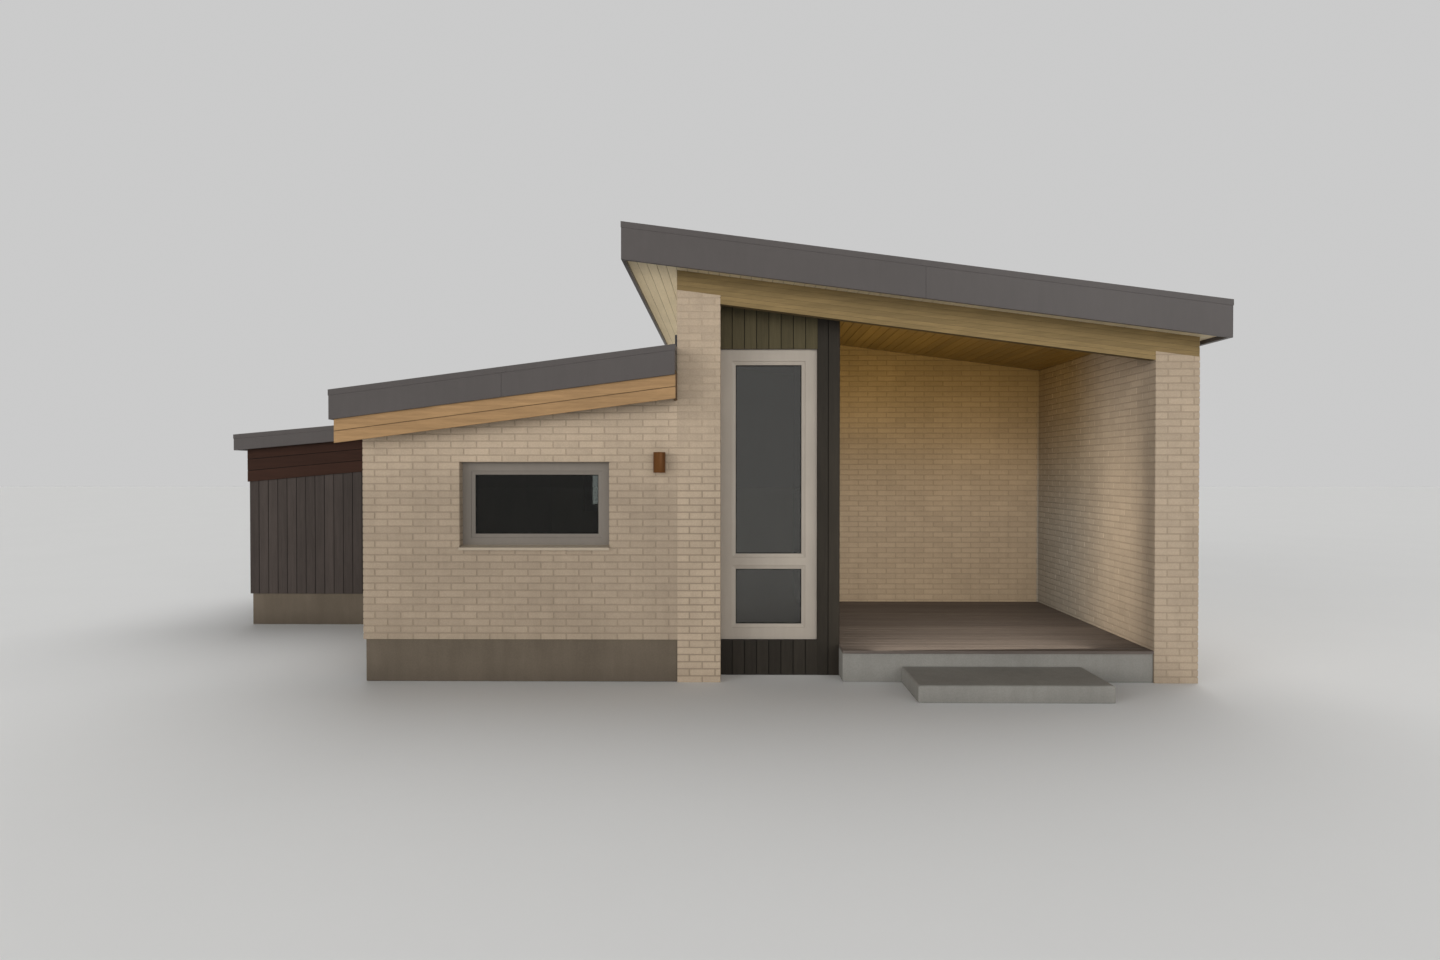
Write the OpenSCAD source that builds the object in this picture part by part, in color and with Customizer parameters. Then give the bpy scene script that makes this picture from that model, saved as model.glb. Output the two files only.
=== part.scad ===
// Single-storey house with two opposed monopitch roofs, a recessed porch and a dark timber annex.
// Millimetres, +Z up. +X runs to the right along the front, +Y runs from the front to the back.
// The origin lies on the ground under the middle of the centre wall, which stands between the two blocks.

/* [Plan] */
// Width of the low block's front wall, up to the left fin
low_w = 2950; // [2400:50:3600]
// Thickness of the two fin walls that frame the tall block
fin_t = 400; // [300:10:450]
// Width of the tall window between the left fin and the porch
bay_w = 940; // [700:10:1100]
// Thickness of the dark wall between the bay and the porch
bay_wall_t = 210; // [180:10:300]
// Width of the recessed porch
porch_w = 2900; // [2400:20:3400]
// Depth of the porch, from the front of the fins to its back wall
porch_d = 3000; // [2200:50:3400]
// Depth of the main house, front to back
house_d = 7200; // [6600:100:9000]
// How far the bay stands behind the front of the fins
bay_setback = 300; // [200:10:400]
// Thickness of the bay's base and of its head
bay_base_t = 160; // [140:10:200]
// Thickness of the outer walls
wall_t = 350; // [250:10:400]

/* [Heights] */
// Height of the plinths above the ground
plinth_h = 400; // [300:10:450]
// How far the plinths stand behind the face of the walls above them
plinth_back = 15; // [5:1:30]
// Height of the floors above the ground
floor_h = 340; // [300:10:380]
// Thickness of the floors
floor_t = 180; // [120:10:240]
// Slope of both roofs
pitch = 7.4; // [4:0.1:12]
// Height of the low block's wall at its left edge, where its roof is lowest
low_eave_h = 2510; // [2350:10:2800]
// Height of the left fin at its left face, where the tall roof is highest
tall_top_h = 3860; // [3700:20:4300]

/* [Roofs] */
// Thickness of the tall roof's deck
tall_deck_t = 260; // [160:10:300]
// Thickness of the low roof's deck
low_deck_t = 190; // [140:10:260]
// Thickness of the roofing felt on the decks
felt_t = 20; // [10:2:30]
// How far the low roof's felt is turned up against the left fin
felt_upstand = 150; // [80:10:200]
// Width and height of the sloped fillet under the turned-up felt
felt_fillet = 50; // [30:5:80]
// Thickness of the fascia boards
fascia_t = 32; // [22:2:45]
// How far the fascia boards stand above the felt
fascia_up = 22; // [10:2:40]
// How far the fascia boards hang below the deck
fascia_down = 40; // [20:5:60]
// Height of the metal trim that caps the fascia boards
trim_h = 55; // [45:5:80]
// How far the metal trim stands proud of the fascia boards
trim_t = 6; // [3:1:12]
// Overhang of both roofs beyond the front and the back walls
front_over = 300; // [200:10:500]
// Overhang of the tall roof beyond the left fin
tall_left_over = 490; // [300:10:600]
// Overhang of the tall roof beyond the right fin
tall_right_over = 140; // [100:10:400]
// Overhang of the low roof beyond the left wall
low_left_over = 190; // [150:10:400]
// How far the brown under-boards of the low roof hang below its deck
under_h = 255; // [180:5:300]
// Thickness of the brown under-boards
under_t = 24; // [18:2:34]
// Height of the brown beam that lies on the fins
beam_h = 190; // [120:10:240]
// How far the brown header between the fins hangs below the beam
header_drop = 80; // [40:10:160]
// Thickness of the beam and of the header
beam_t = 90; // [60:10:140]
// Thickness of the ceiling linings
lining_t = 18; // [12:1:25]

/* [Windows] */
// Width of the low windows' openings
low_win_w = 1410; // [1000:20:1700]
// Height of the low windows' openings
low_win_h = 800; // [600:10:1000]
// Height of the low windows' lower edge above the ground
low_win_sill = 1265; // [1100:5:1400]
// Distance from the front window's right edge to the left fin
low_win_gap = 635; // [500:10:800]
// Height of the tall window's upper edge above the ground
bay_win_top = 3160; // [2900:20:3300]
// Height of the tall window's transom above the ground
transom_h = 1100; // [950:20:1300]
// Width of the low windows' frame members
frame_w = 120; // [80:5:150]
// Width of the tall window's frame members and of its transom
bay_frame_w = 150; // [110:5:180]
// Depth of the window frames
frame_d = 90; // [70:5:120]
// How far the low windows' frames stand behind the wall's face
reveal = 90; // [50:10:150]
// How far the tall window's frame stands behind the face of the bay
bay_reveal = 30; // [10:5:60]
// Width of the stepped glazing bead round the glass
bead_w = 36; // [24:2:44]
// How far the bead lies behind the face of its frame
bead_step = 10; // [4:1:14]
// How far the bead slopes back towards the glass
bead_fall = 8; // [2:1:10]
// Depth of the groove that holds the glass
groove_d = 14; // [8:1:18]
// Thickness of the glass units
glass_t = 28; // [20:2:32]
// Thickness of the metal window sills
sill_t = 4; // [2:1:6]
// How far the sills fall from the frame to the wall's face
sill_fall = 12; // [6:1:20]
// How far the sills stand out from the wall
sill_nose = 32; // [20:2:50]
// Height of the folded edge at the front of the sills
sill_edge = 26; // [16:2:40]

/* [Doors] */
// Width of the door openings
door_w = 1010; // [900:10:1100]
// Height of the door openings above the floor
door_h = 2110; // [2000:10:2200]
// Distance from the porch's back wall to the entrance door's opening
door_gap = 500; // [300:50:900]
// Distance from the rear room's front wall to the doorway in the centre wall
passage_gap = 600; // [300:50:900]
// Width of the door frame's members
door_frame_w = 60; // [45:5:80]
// Depth of the door frame
door_frame_d = 100; // [90:5:120]
// How far the door frame stands behind the porch's side wall
door_reveal = 50; // [20:5:60]
// Thickness of the door leaf
leaf_t = 60; // [44:2:68]
// Width of the stop that the leaf closes against
door_stop = 15; // [10:1:20]
// Clearance round the door leaf
leaf_gap = 3; // [2:0.5:5]
// Height of the threshold
threshold_h = 40; // [25:5:60]

/* [Porch] */
// Height of the porch deck above the ground
deck_h = 300; // [200:10:350]
// Thickness of the deck's boards
deck_board_t = 28; // [22:2:40]
// How far the deck's boards stand out over their base
deck_nose = 20; // [10:5:40]
// Width of the step in front of the porch
step_w = 1680; // [1200:40:2400]
// Depth of the step
step_d = 700; // [350:50:1000]
// Height of the step
step_h = 150; // [120:10:170]
// How far the step stands to the left of the porch's middle
step_shift = 60; // [0:10:300]
// Chamfer along the step's upper edges
step_chamfer = 12; // [5:1:25]
// Distance from the left fin to the middle of the wall lamp
lamp_gap = 160; // [100:10:300]
// Height of the wall lamp's middle above the ground
lamp_h = 2060; // [1800:10:2200]
// Length of the wall lamp's tube
lamp_l = 190; // [140:10:240]
// Diameter of the wall lamp's tube
lamp_d = 112; // [80:2:130]

/* [Annex] */
// Width of the annex, beside the low block
annex_w = 2720; // [2000:50:3200]
// Depth of the annex
annex_d = 3200; // [2400:100:4200]
// How far the annex's front stands behind the house's front
annex_back = 2950; // [2400:100:3400]
// Slope of the annex's roof, down to the left
annex_pitch = 5.1; // [3:0.1:7.4]
// How far the annex's roof lies below the upper edge of the low roof's fascia
annex_drop = 60; // [40:5:120]
// Thickness of the annex's walls
annex_wall_t = 120; // [90:10:160]
// Thickness of the annex's roof deck
annex_deck_t = 140; // [100:10:180]
// Overhang of the annex's roof
annex_over = 140; // [90:10:200]
// Height of the dark red-brown frieze under the annex's roof
frieze_h = 430; // [200:10:500]
// Thickness of the frieze
frieze_t = 20; // [12:2:30]
// Height of the annex's plinth
annex_base_h = 400; // [100:10:450]
// Thickness of the annex's floor
annex_floor_t = 60; // [40:5:80]

/* [Hidden] */

// How far a cut runs past the face that it cuts
past = 1;

// Lines of the plan, from left to right
x_fin = -fin_t / 2;
x_left = x_fin - low_w;
x_bay = x_fin + fin_t;
x_post = x_bay + bay_w;
x_porch = x_post + bay_wall_t;
x_inner = x_porch + porch_w;
x_right = x_inner + fin_t;

// Lines of the plan, from front to back
y_front = -house_d / 2;
y_bay = y_front + bay_setback;
y_bay_in = y_bay + bay_base_t;
y_porch = y_front + porch_d;
y_room = y_porch + wall_t;
y_back = house_d / 2;
y_back_in = y_back - wall_t;

// The outer faces of the roofs' edges, and the thickness of an edge with its trim
edge_t = fascia_t + trim_t;
low_x0 = x_left - low_left_over;
tall_x = [x_fin - tall_left_over, x_right + tall_right_over];
roof_y = [y_front - front_over, y_back + front_over];

// The annex in plan, with its roof
annex_x = [x_left - annex_w, x_left];
annex_y = [y_front + annex_back, y_front + annex_back + annex_d];
annex_roof_x0 = annex_x[0] - annex_over;
annex_roof_y = [annex_y[0] - annex_over, annex_y[1] + annex_over];

// Each roof's underside as a line along the front: its height over the origin and its rise
slope = tan(pitch);
annex_slope = tan(annex_pitch);
low_line = [low_eave_h - x_left * slope, slope];
tall_line = [tall_top_h + x_fin * slope, -slope];
eave_z = low_line[0] + low_line[1] * low_x0;
annex_top_h = eave_z + low_deck_t + fascia_up - annex_drop - annex_deck_t;
annex_line = [annex_top_h - low_x0 * annex_slope, annex_slope];

// The windows in plan
win_x = [x_fin - low_win_gap - low_win_w, x_fin - low_win_gap];
back_win_x1 = (x_bay + x_inner + low_win_w) / 2;
side_win_y0 = (y_room + y_back_in - low_win_w) / 2;

// The entrance door, in the porch's left side wall
door_y = [y_porch - door_gap - door_w, y_porch - door_gap];
door_x1 = x_porch - door_reveal;
door_x0 = door_x1 - door_frame_d;

colour_wall = [0.65, 0.59, 0.51];
colour_plinth = [0.43, 0.39, 0.34];
colour_fascia = [0.38, 0.37, 0.37];
colour_brown = [0.55, 0.44, 0.31];
colour_dark = [0.22, 0.19, 0.16];
colour_annex = [0.29, 0.26, 0.24];
colour_frieze = [0.25, 0.16, 0.12];
colour_frame = [0.53, 0.50, 0.46];
colour_floor = [0.42, 0.36, 0.31];
colour_glass = [0.35, 0.42, 0.45, 0.45];
colour_felt = [0.23, 0.23, 0.24];
colour_pale = [0.72, 0.67, 0.57];
colour_lamp = [0.36, 0.23, 0.12];

// A stretch made longer at both of its ends.
function grow(span, by) = [span[0] - by, span[1] + by];

// A point at x along the front, at height d over a roof line.
function on(line, x, d) = [x, line[0] + line[1] * x + d];

// A block between two corners.
module box(a, b) {
    translate(a) cube(b - a);
}

// A block given by its stretches along the three axes.
module block(x, y, z) {
    box([x[0], y[0], z[0]], [x[1], y[1], z[1]]);
}

// An outline seen from the front, carried from front to back over the stretch y.
module carry(outline, y) {
    translate([0, y[1], 0]) rotate([90, 0, 0]) linear_extrude(y[1] - y[0]) polygon(outline);
}

// An outline seen from the right side, carried from left to right over the stretch x.
module carry_across(outline, x) {
    translate([x[0], 0, 0]) rotate([90, 0, 90]) linear_extrude(x[1] - x[0]) polygon(outline);
}

// A board or a layer that follows a roof line, over the stretch d above its underside.
module band(line, x, y, d) {
    carry([on(line, x[0], d[0]), on(line, x[1], d[0]), on(line, x[1], d[1]), on(line, x[0], d[1])], y);
}

// A wall that stands on the height z and reaches up to a roof line.
module wall_under(line, x, y, z) {
    carry([[x[0], z], [x[1], z], on(line, x[1], 0), on(line, x[0], 0)], y);
}

// Ground works

// Strips of concrete under the low block's three outer walls.
module low_plinth() {
    color(colour_plinth) {
        difference() {
            block([x_left + plinth_back, x_fin], grow([y_front, y_back], -plinth_back), [0, plinth_h]);
            block([x_left + wall_t, x_fin + past], grow([y_front, y_back], -wall_t), [-past, plinth_h + past]);
        }
    }
}

// Strips of concrete under the tall block's back wall and under the porch's back wall.
module tall_plinth() {
    color(colour_plinth) {
        block([x_bay, x_inner], [y_back_in, y_back - plinth_back], [0, plinth_h]);
        block([x_porch, x_inner], [y_porch, y_room], [0, deck_h]);
    }
}

module annex_plinth() {
    color(colour_plinth) {
        difference() {
            block([annex_x[0] + plinth_back, x_left], grow(annex_y, -plinth_back), [0, annex_base_h]);
            block(
                [annex_x[0] + annex_wall_t, x_left + past],
                grow(annex_y, -annex_wall_t),
                [-past, annex_base_h + past]
            );
        }
    }
}

// The solid base that carries the porch's deck.
module porch_base() {
    color(colour_plinth) {
        block([x_porch, x_inner], [y_front + deck_nose, y_porch], [0, deck_h - deck_board_t]);
    }
}

module porch_deck() {
    color(colour_floor) {
        block([x_porch, x_inner], [y_front, y_porch], [deck_h - deck_board_t, deck_h]);
    }
}

// The step is the shape that its chamfered side view and its chamfered front view have in common.
// It stands against the base of the deck.
module porch_step() {
    step_x1 = (x_porch + x_inner + step_w) / 2 - step_shift;
    step_x0 = step_x1 - step_w;
    step_y = [y_front - step_d, y_front + deck_nose];
    shoulder = step_h - step_chamfer;
    color(colour_plinth) {
        intersection() {
            carry_across([
                [step_y[0], 0], [step_y[0], shoulder], [step_y[0] + step_chamfer, step_h],
                [step_y[1], step_h], [step_y[1], 0]
            ], [step_x0, step_x1]);
            carry([
                [step_x0, 0], [step_x0, shoulder], [step_x0 + step_chamfer, step_h],
                [step_x1 - step_chamfer, step_h], [step_x1, shoulder], [step_x1, 0]
            ], step_y);
        }
    }
}

module low_floor() {
    color(colour_floor) {
        block([x_left + wall_t, x_fin], grow([y_front, y_back], -wall_t), [floor_h - floor_t, floor_h]);
    }
}

// The floor of the room behind the porch and of the bay beside it.
module tall_floor() {
    color(colour_floor) {
        block([x_bay, x_inner], [y_room, y_back_in], [floor_h - floor_t, floor_h]);
        block([x_bay, x_post], [y_bay_in, y_room], [floor_h - floor_t, floor_h]);
    }
}

module annex_floor() {
    color(colour_floor) {
        block(
            [annex_x[0] + annex_wall_t, x_left],
            grow(annex_y, -annex_wall_t),
            [annex_base_h - annex_floor_t, annex_base_h]
        );
    }
}

// Places of the windows

// Each place sets a window's lower left corner, as it is seen from outside, on the wall's outer face.
// Behind the corner +Y runs into the wall.
module at_front_window() {
    translate([win_x[0], y_front, low_win_sill]) children();
}

module at_low_back_window() {
    translate([win_x[1], y_back, low_win_sill]) rotate([0, 0, 180]) children();
}

module at_tall_back_window() {
    translate([back_win_x1, y_back, low_win_sill]) rotate([0, 0, 180]) children();
}

module at_side_window() {
    translate([x_right, side_win_y0, low_win_sill]) rotate([0, 0, 90]) children();
}

// The opening for a low window through a wall of a given thickness.
module window_hole(thickness) {
    block([0, low_win_w], [-past, thickness + past], [0, low_win_h]);
}

// Walls of the low block

module low_front_wall() {
    color(colour_wall) {
        difference() {
            wall_under(low_line, [x_left, x_fin], [y_front, y_front + wall_t], plinth_h);
            at_front_window() window_hole(wall_t);
        }
    }
}

module low_side_wall() {
    color(colour_wall) {
        wall_under(low_line, [x_left, x_left + wall_t], [y_front + wall_t, y_back_in], plinth_h);
    }
}

module low_back_wall() {
    color(colour_wall) {
        difference() {
            wall_under(low_line, [x_left, x_fin], [y_back_in, y_back], plinth_h);
            at_low_back_window() window_hole(wall_t);
        }
    }
}

// Walls of the tall block

// The rebate in the fins' upper front corners, which the brown beam lies in.
module beam_rebate() {
    band(tall_line, grow([x_fin, x_right], past), [y_front - past, y_front + beam_t], [-beam_h, past]);
}

// The left fin: it runs from front to back between the two blocks, with one doorway through it.
module centre_wall() {
    passage_y0 = y_room + passage_gap;
    color(colour_wall) {
        difference() {
            wall_under(tall_line, [x_fin, x_bay], [y_front, y_back], 0);
            block(grow([x_fin, x_bay], past), [passage_y0, passage_y0 + door_w], [floor_h, floor_h + door_h]);
            beam_rebate();
        }
    }
}

// The right fin: it closes the porch and the room behind it, with one window at the back.
module right_wall() {
    color(colour_wall) {
        difference() {
            wall_under(tall_line, [x_inner, x_right], [y_front, y_back], 0);
            at_side_window() window_hole(fin_t);
            beam_rebate();
        }
    }
}

module tall_back_wall() {
    color(colour_wall) {
        difference() {
            wall_under(tall_line, [x_bay, x_inner], [y_back_in, y_back], plinth_h);
            at_tall_back_window() window_hole(wall_t);
        }
    }
}

module porch_back_wall() {
    color(colour_wall) {
        wall_under(tall_line, [x_porch, x_inner], [y_porch, y_room], deck_h);
    }
}

// The dark wall at the porch's left side, split beside and over the entrance door.
module porch_side_wall() {
    color(colour_dark) {
        difference() {
            wall_under(tall_line, [x_post, x_porch], [y_bay, y_room], 0);
            block(grow([x_post, x_porch], past), door_y, [deck_h, deck_h + door_h]);
        }
    }
}

module bay_base() {
    color(colour_dark) {
        block([x_bay, x_post], [y_bay, y_bay_in], [0, floor_h]);
    }
}

module bay_head() {
    color(colour_dark) {
        wall_under(tall_line, [x_bay, x_post], [y_bay, y_bay_in], bay_win_top);
    }
}

// Walls of the annex

// The upper edge of the annex's front and back walls, from right to left.
// It follows the annex's roof and steps down where it runs in under the low roof's eave.
annex_wall_top = [
    [x_left, eave_z - fascia_down], [low_x0, eave_z - fascia_down],
    on(annex_line, low_x0, 0), on(annex_line, annex_x[0], 0)
];

module annex_long_wall(y) {
    carry(concat([[annex_x[0], annex_base_h], [x_left, annex_base_h]], annex_wall_top), y);
}

module annex_front_wall() {
    color(colour_annex) annex_long_wall([annex_y[0], annex_y[0] + annex_wall_t]);
}

module annex_back_wall() {
    color(colour_annex) annex_long_wall([annex_y[1] - annex_wall_t, annex_y[1]]);
}

module annex_side_wall() {
    color(colour_annex) {
        wall_under(
            annex_line, [annex_x[0], annex_x[0] + annex_wall_t], grow(annex_y, -annex_wall_t), annex_base_h
        );
    }
}

// Red-brown boards round the top of the annex's walls, mitred at the corners.
module annex_frieze() {
    foot = [on(annex_line, annex_x[0], -frieze_h), on(annex_line, x_left, -frieze_h)];
    color(colour_frieze) {
        carry(concat(foot, annex_wall_top), [annex_y[0] - frieze_t, annex_y[0]]);
        carry(concat(foot, annex_wall_top), [annex_y[1], annex_y[1] + frieze_t]);
        band(annex_line, [annex_x[0] - frieze_t, annex_x[0]], grow(annex_y, frieze_t), [-frieze_h, 0]);
    }
}

// Roof edges

// The boards round a roof's edge. They stand above the felt and carry a metal trim, but along the eave
// they end level with the deck, and the felt runs out over them. The eave is at x[0] or at x[1].
module roof_edge(line, x, y, down, deck_t, eave_x) {
    top = deck_t + felt_t + fascia_up;
    eave = grow([eave_x, eave_x], edge_t + past);
    difference() {
        union() {
            band(line, grow(x, -trim_t), grow(y, -trim_t), [-down, top]);
            difference() {
                band(line, x, y, [top - trim_h, top]);
                band(line, eave, grow(y, -edge_t), [top - trim_h - past, top + past]);
            }
        }
        band(line, grow(x, -edge_t), grow(y, -edge_t), [-down - past, top + past]);
        band(line, eave, grow(y, -edge_t), [deck_t, top + past]);
    }
}

// The low roof

// A layer of the low roof from x0 up to the left fin, and in the overhangs up to the closing boards.
module low_layer(x0, d) {
    band(low_line, [x0, x_fin - edge_t], grow(roof_y, -edge_t), d);
    band(low_line, [x_fin - edge_t, x_fin], [y_front, y_back], d);
}

module low_roof() {
    color(colour_pale) low_layer(low_x0 + edge_t, [0, low_deck_t]);
}

// The felt runs out over the eave and is turned up against the left fin, over a sloped fillet.
module low_felt() {
    felt_top = low_deck_t + felt_t;
    color(colour_felt) {
        low_layer(low_x0, [low_deck_t, felt_top]);
        carry([
            on(low_line, x_fin - felt_t - felt_fillet, felt_top), on(low_line, x_fin, felt_top),
            on(low_line, x_fin, felt_top + felt_upstand), on(low_line, x_fin - felt_t, felt_top + felt_upstand),
            on(low_line, x_fin - felt_t, felt_top + felt_fillet)
        ], [y_front, y_back]);
    }
}

// The boards go right round the low roof, apart from where it meets the left fin.
module low_fascia() {
    color(colour_fascia) {
        difference() {
            roof_edge(low_line, [low_x0, x_fin], roof_y, fascia_down, low_deck_t, low_x0);
            band(
                low_line, [x_fin - edge_t - past, x_fin + past], [y_front, y_back],
                [-fascia_down - past, low_deck_t + felt_t + fascia_up + past]
            );
        }
    }
}

// Brown boards behind the front and the back fascia, which hang below them. Each turns in to the wall
// beside the left fin.
module under_boards() {
    front = roof_y[0] + edge_t;
    back = roof_y[1] - edge_t;
    hang = [-under_h, 0];
    color(colour_brown) {
        band(low_line, [low_x0 + edge_t, x_fin], [front, front + under_t], hang);
        band(low_line, [low_x0 + edge_t, x_fin], [back - under_t, back], hang);
        band(low_line, [x_fin - under_t, x_fin], [front + under_t, y_front], hang);
        band(low_line, [x_fin - under_t, x_fin], [y_back, back - under_t], hang);
    }
}

// The tall roof

module tall_roof() {
    color(colour_pale) band(tall_line, grow(tall_x, -edge_t), grow(roof_y, -edge_t), [0, tall_deck_t]);
}

// The felt runs out over the eave at the right.
module tall_felt() {
    color(colour_felt) {
        band(
            tall_line, [tall_x[0] + edge_t, tall_x[1]], grow(roof_y, -edge_t),
            [tall_deck_t, tall_deck_t + felt_t]
        );
    }
}

module tall_fascia() {
    color(colour_fascia) roof_edge(tall_line, tall_x, roof_y, fascia_down, tall_deck_t, tall_x[1]);
}

// The brown beam that lies in the fins' rebates, with the header that fills the gap between the fins.
module header_beam() {
    low = -beam_h - header_drop;
    color(colour_brown) {
        carry([
            on(tall_line, x_fin, 0), on(tall_line, x_fin, -beam_h),
            on(tall_line, x_bay, -beam_h), on(tall_line, x_bay, low),
            on(tall_line, x_inner, low), on(tall_line, x_inner, -beam_h),
            on(tall_line, x_right, -beam_h), on(tall_line, x_right, 0)
        ], [y_front, y_front + beam_t]);
    }
}

module porch_ceiling() {
    color(colour_brown) {
        band(tall_line, [x_porch, x_inner], [y_front + beam_t, y_porch], [-lining_t, 0]);
        band(tall_line, [x_bay, x_porch], [y_front + beam_t, y_bay], [-lining_t, 0]);
    }
}

module low_ceiling() {
    color(colour_pale) {
        band(low_line, [x_left + wall_t, x_fin], [y_front + wall_t, y_back_in], [-lining_t, 0]);
    }
}

module tall_ceiling() {
    color(colour_pale) {
        band(tall_line, [x_bay, x_inner], [y_room, y_back_in], [-lining_t, 0]);
        band(tall_line, [x_bay, x_post], [y_bay_in, y_room], [-lining_t, 0]);
    }
}

// The annex's roof, which ends against the low roof's eave

module annex_roof() {
    color(colour_pale) {
        band(annex_line, [annex_roof_x0 + edge_t, low_x0], grow(annex_roof_y, -edge_t), [0, annex_deck_t]);
    }
}

module annex_felt() {
    color(colour_felt) {
        band(
            annex_line, [annex_roof_x0, low_x0], grow(annex_roof_y, -edge_t),
            [annex_deck_t, annex_deck_t + felt_t]
        );
    }
}

module annex_fascia() {
    annex_down = fascia_down / 2;
    color(colour_fascia) {
        difference() {
            roof_edge(
                annex_line, [annex_roof_x0, low_x0 + edge_t], annex_roof_y,
                annex_down, annex_deck_t, annex_roof_x0
            );
            band(
                annex_line, [low_x0, low_x0 + edge_t + past], grow(annex_roof_y, past),
                [-annex_down - past, annex_deck_t + felt_t + fascia_up + past]
            );
        }
    }
}

// Windows

// The section of a frame member of width w, as depth behind its face and height over its outer edge:
// a flat face, a step down to a sloping bead, the groove that holds the glass, and a flat back.
glass_y = (frame_d - glass_t) / 2;
function member(w) = [
    [0, 0], [0, w - bead_w], [bead_step, w - bead_w], [bead_step + bead_fall, w],
    [glass_y, w], [glass_y, w - groove_d], [glass_y + glass_t, w - groove_d], [glass_y + glass_t, w],
    [frame_d, w], [frame_d, 0]
];

// A member that lies along +X with the glass above it, mitred at both ends.
module mitred(length, w) {
    intersection() {
        carry_across(member(w), [0, length]);
        carry([[0, 0], [length, 0], [length - w, w], [w, w]], grow([0, frame_d], past));
    }
}

// Four mitred members round an opening, with the frame's face at y = 0.
module mitred_frame(width, height, w) {
    mitred(width, w);
    translate([width, 0, 0]) rotate([0, -90, 0]) mitred(height, w);
    translate([width, 0, height]) rotate([0, 180, 0]) mitred(width, w);
    translate([0, 0, height]) rotate([0, 90, 0]) mitred(height, w);
}

// A bar across a frame with a bead and a groove on both of its edges. Its ends are let into the
// beads of the upright members.
module transom(width, height, w) {
    bar_x = [w - bead_w, width - w + bead_w];
    translate([0, 0, height]) {
        carry_across(member(w / 2), bar_x);
        mirror([0, 0, 1]) carry_across(member(w / 2), bar_x);
    }
}

// A glass unit that fills the groove round a light of the given stretches.
module glass_unit(x, z) {
    block(grow(x, groove_d), [glass_y, glass_y + glass_t], grow(z, groove_d));
}

module low_frame() {
    translate([0, reveal, 0]) mitred_frame(low_win_w, low_win_h, frame_w);
}

module low_glass() {
    translate([0, reveal, 0]) glass_unit(grow([0, low_win_w], -frame_w), grow([0, low_win_h], -frame_w));
}

module low_window_frame() {
    color(colour_frame) at_front_window() low_frame();
}

module low_window_glass() {
    color(colour_glass) at_front_window() low_glass();
}

module at_bay_window() {
    translate([x_bay, y_bay + bay_reveal, floor_h]) children();
}

// The tall window stands on the floor's edge, with a small light below its transom.
module bay_window_frame() {
    color(colour_frame) {
        at_bay_window() {
            mitred_frame(bay_w, bay_win_top - floor_h, bay_frame_w);
            transom(bay_w, transom_h - floor_h, bay_frame_w);
        }
    }
}

module bay_window_glass() {
    light_x = grow([0, bay_w], -bay_frame_w);
    bar_z = grow([transom_h - floor_h, transom_h - floor_h], bay_frame_w / 2);
    color(colour_glass) {
        at_bay_window() {
            glass_unit(light_x, [bay_frame_w, bar_z[0]]);
            glass_unit(light_x, [bar_z[1], bay_win_top - floor_h - bay_frame_w]);
        }
    }
}

module rear_window_frames() {
    color(colour_frame) {
        at_low_back_window() low_frame();
        at_tall_back_window() low_frame();
        at_side_window() low_frame();
    }
}

module rear_window_glass() {
    color(colour_glass) {
        at_low_back_window() low_glass();
        at_tall_back_window() low_glass();
        at_side_window() low_glass();
    }
}

// A metal sill on its bed: it falls outwards from the frame and is folded down beyond the wall's face.
module sill() {
    fall = sill_fall / reveal;
    inside = sill_nose - sill_t;
    carry_across([
        [reveal, 0], [0, 0], [-inside, -fall * inside], [-inside, -sill_edge],
        [-sill_nose, -sill_edge], [-sill_nose, sill_t - fall * sill_nose], [reveal, sill_t + sill_fall]
    ], [0, low_win_w]);
}

module window_sills() {
    color(colour_fascia) {
        at_front_window() sill();
        at_low_back_window() sill();
        at_tall_back_window() sill();
        at_side_window() sill();
    }
}

// Entrance door

// The frame has a threshold and, on the porch's side, a stop that the leaf closes against.
module door_frame() {
    light_y = grow(door_y, -door_frame_w);
    light_z = [deck_h + threshold_h, deck_h + door_h - door_frame_w];
    color(colour_frame) {
        difference() {
            block([door_x0, door_x1], door_y, [deck_h, deck_h + door_h]);
            block(grow([door_x0, door_x1], past), light_y, light_z);
            block(
                [door_x0 - past, door_x0 + leaf_t], grow(light_y, door_stop),
                [light_z[0], light_z[1] + door_stop]
            );
        }
    }
}

module door_leaf() {
    leaf_y = grow(door_y, door_stop - door_frame_w - leaf_gap);
    leaf_z1 = deck_h + door_h - door_frame_w + door_stop - leaf_gap;
    color(colour_dark) {
        block([door_x0, door_x0 + leaf_t], leaf_y, [deck_h + threshold_h, leaf_z1]);
    }
}

// Wall lamp

// A round plate on the wall and a short arm carry a tube, which is open at both ends and closed
// across its middle.
module wall_lamp() {
    plate_t = 14;
    arm_d = 30;
    arm_l = lamp_d / 2 + plate_t + 12;
    tube_wall = 5;
    middle_t = 40;
    radius = lamp_d / 2;
    color(colour_lamp) {
        translate([x_fin - lamp_gap, y_front, lamp_h]) {
            rotate([90, 0, 0]) cylinder(h = plate_t, d = lamp_d * 0.8, $fn = 48);
            rotate([90, 0, 0]) cylinder(h = arm_l, d = arm_d, $fn = 32);
            translate([0, -arm_l, 0]) {
                rotate_extrude($fn = 64) {
                    polygon([
                        [0, -middle_t / 2], [radius - tube_wall, -middle_t / 2], [radius - tube_wall, -lamp_l / 2],
                        [radius, -lamp_l / 2], [radius, lamp_l / 2], [radius - tube_wall, lamp_l / 2],
                        [radius - tube_wall, middle_t / 2], [0, middle_t / 2]
                    ]);
                }
            }
        }
    }
}

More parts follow.
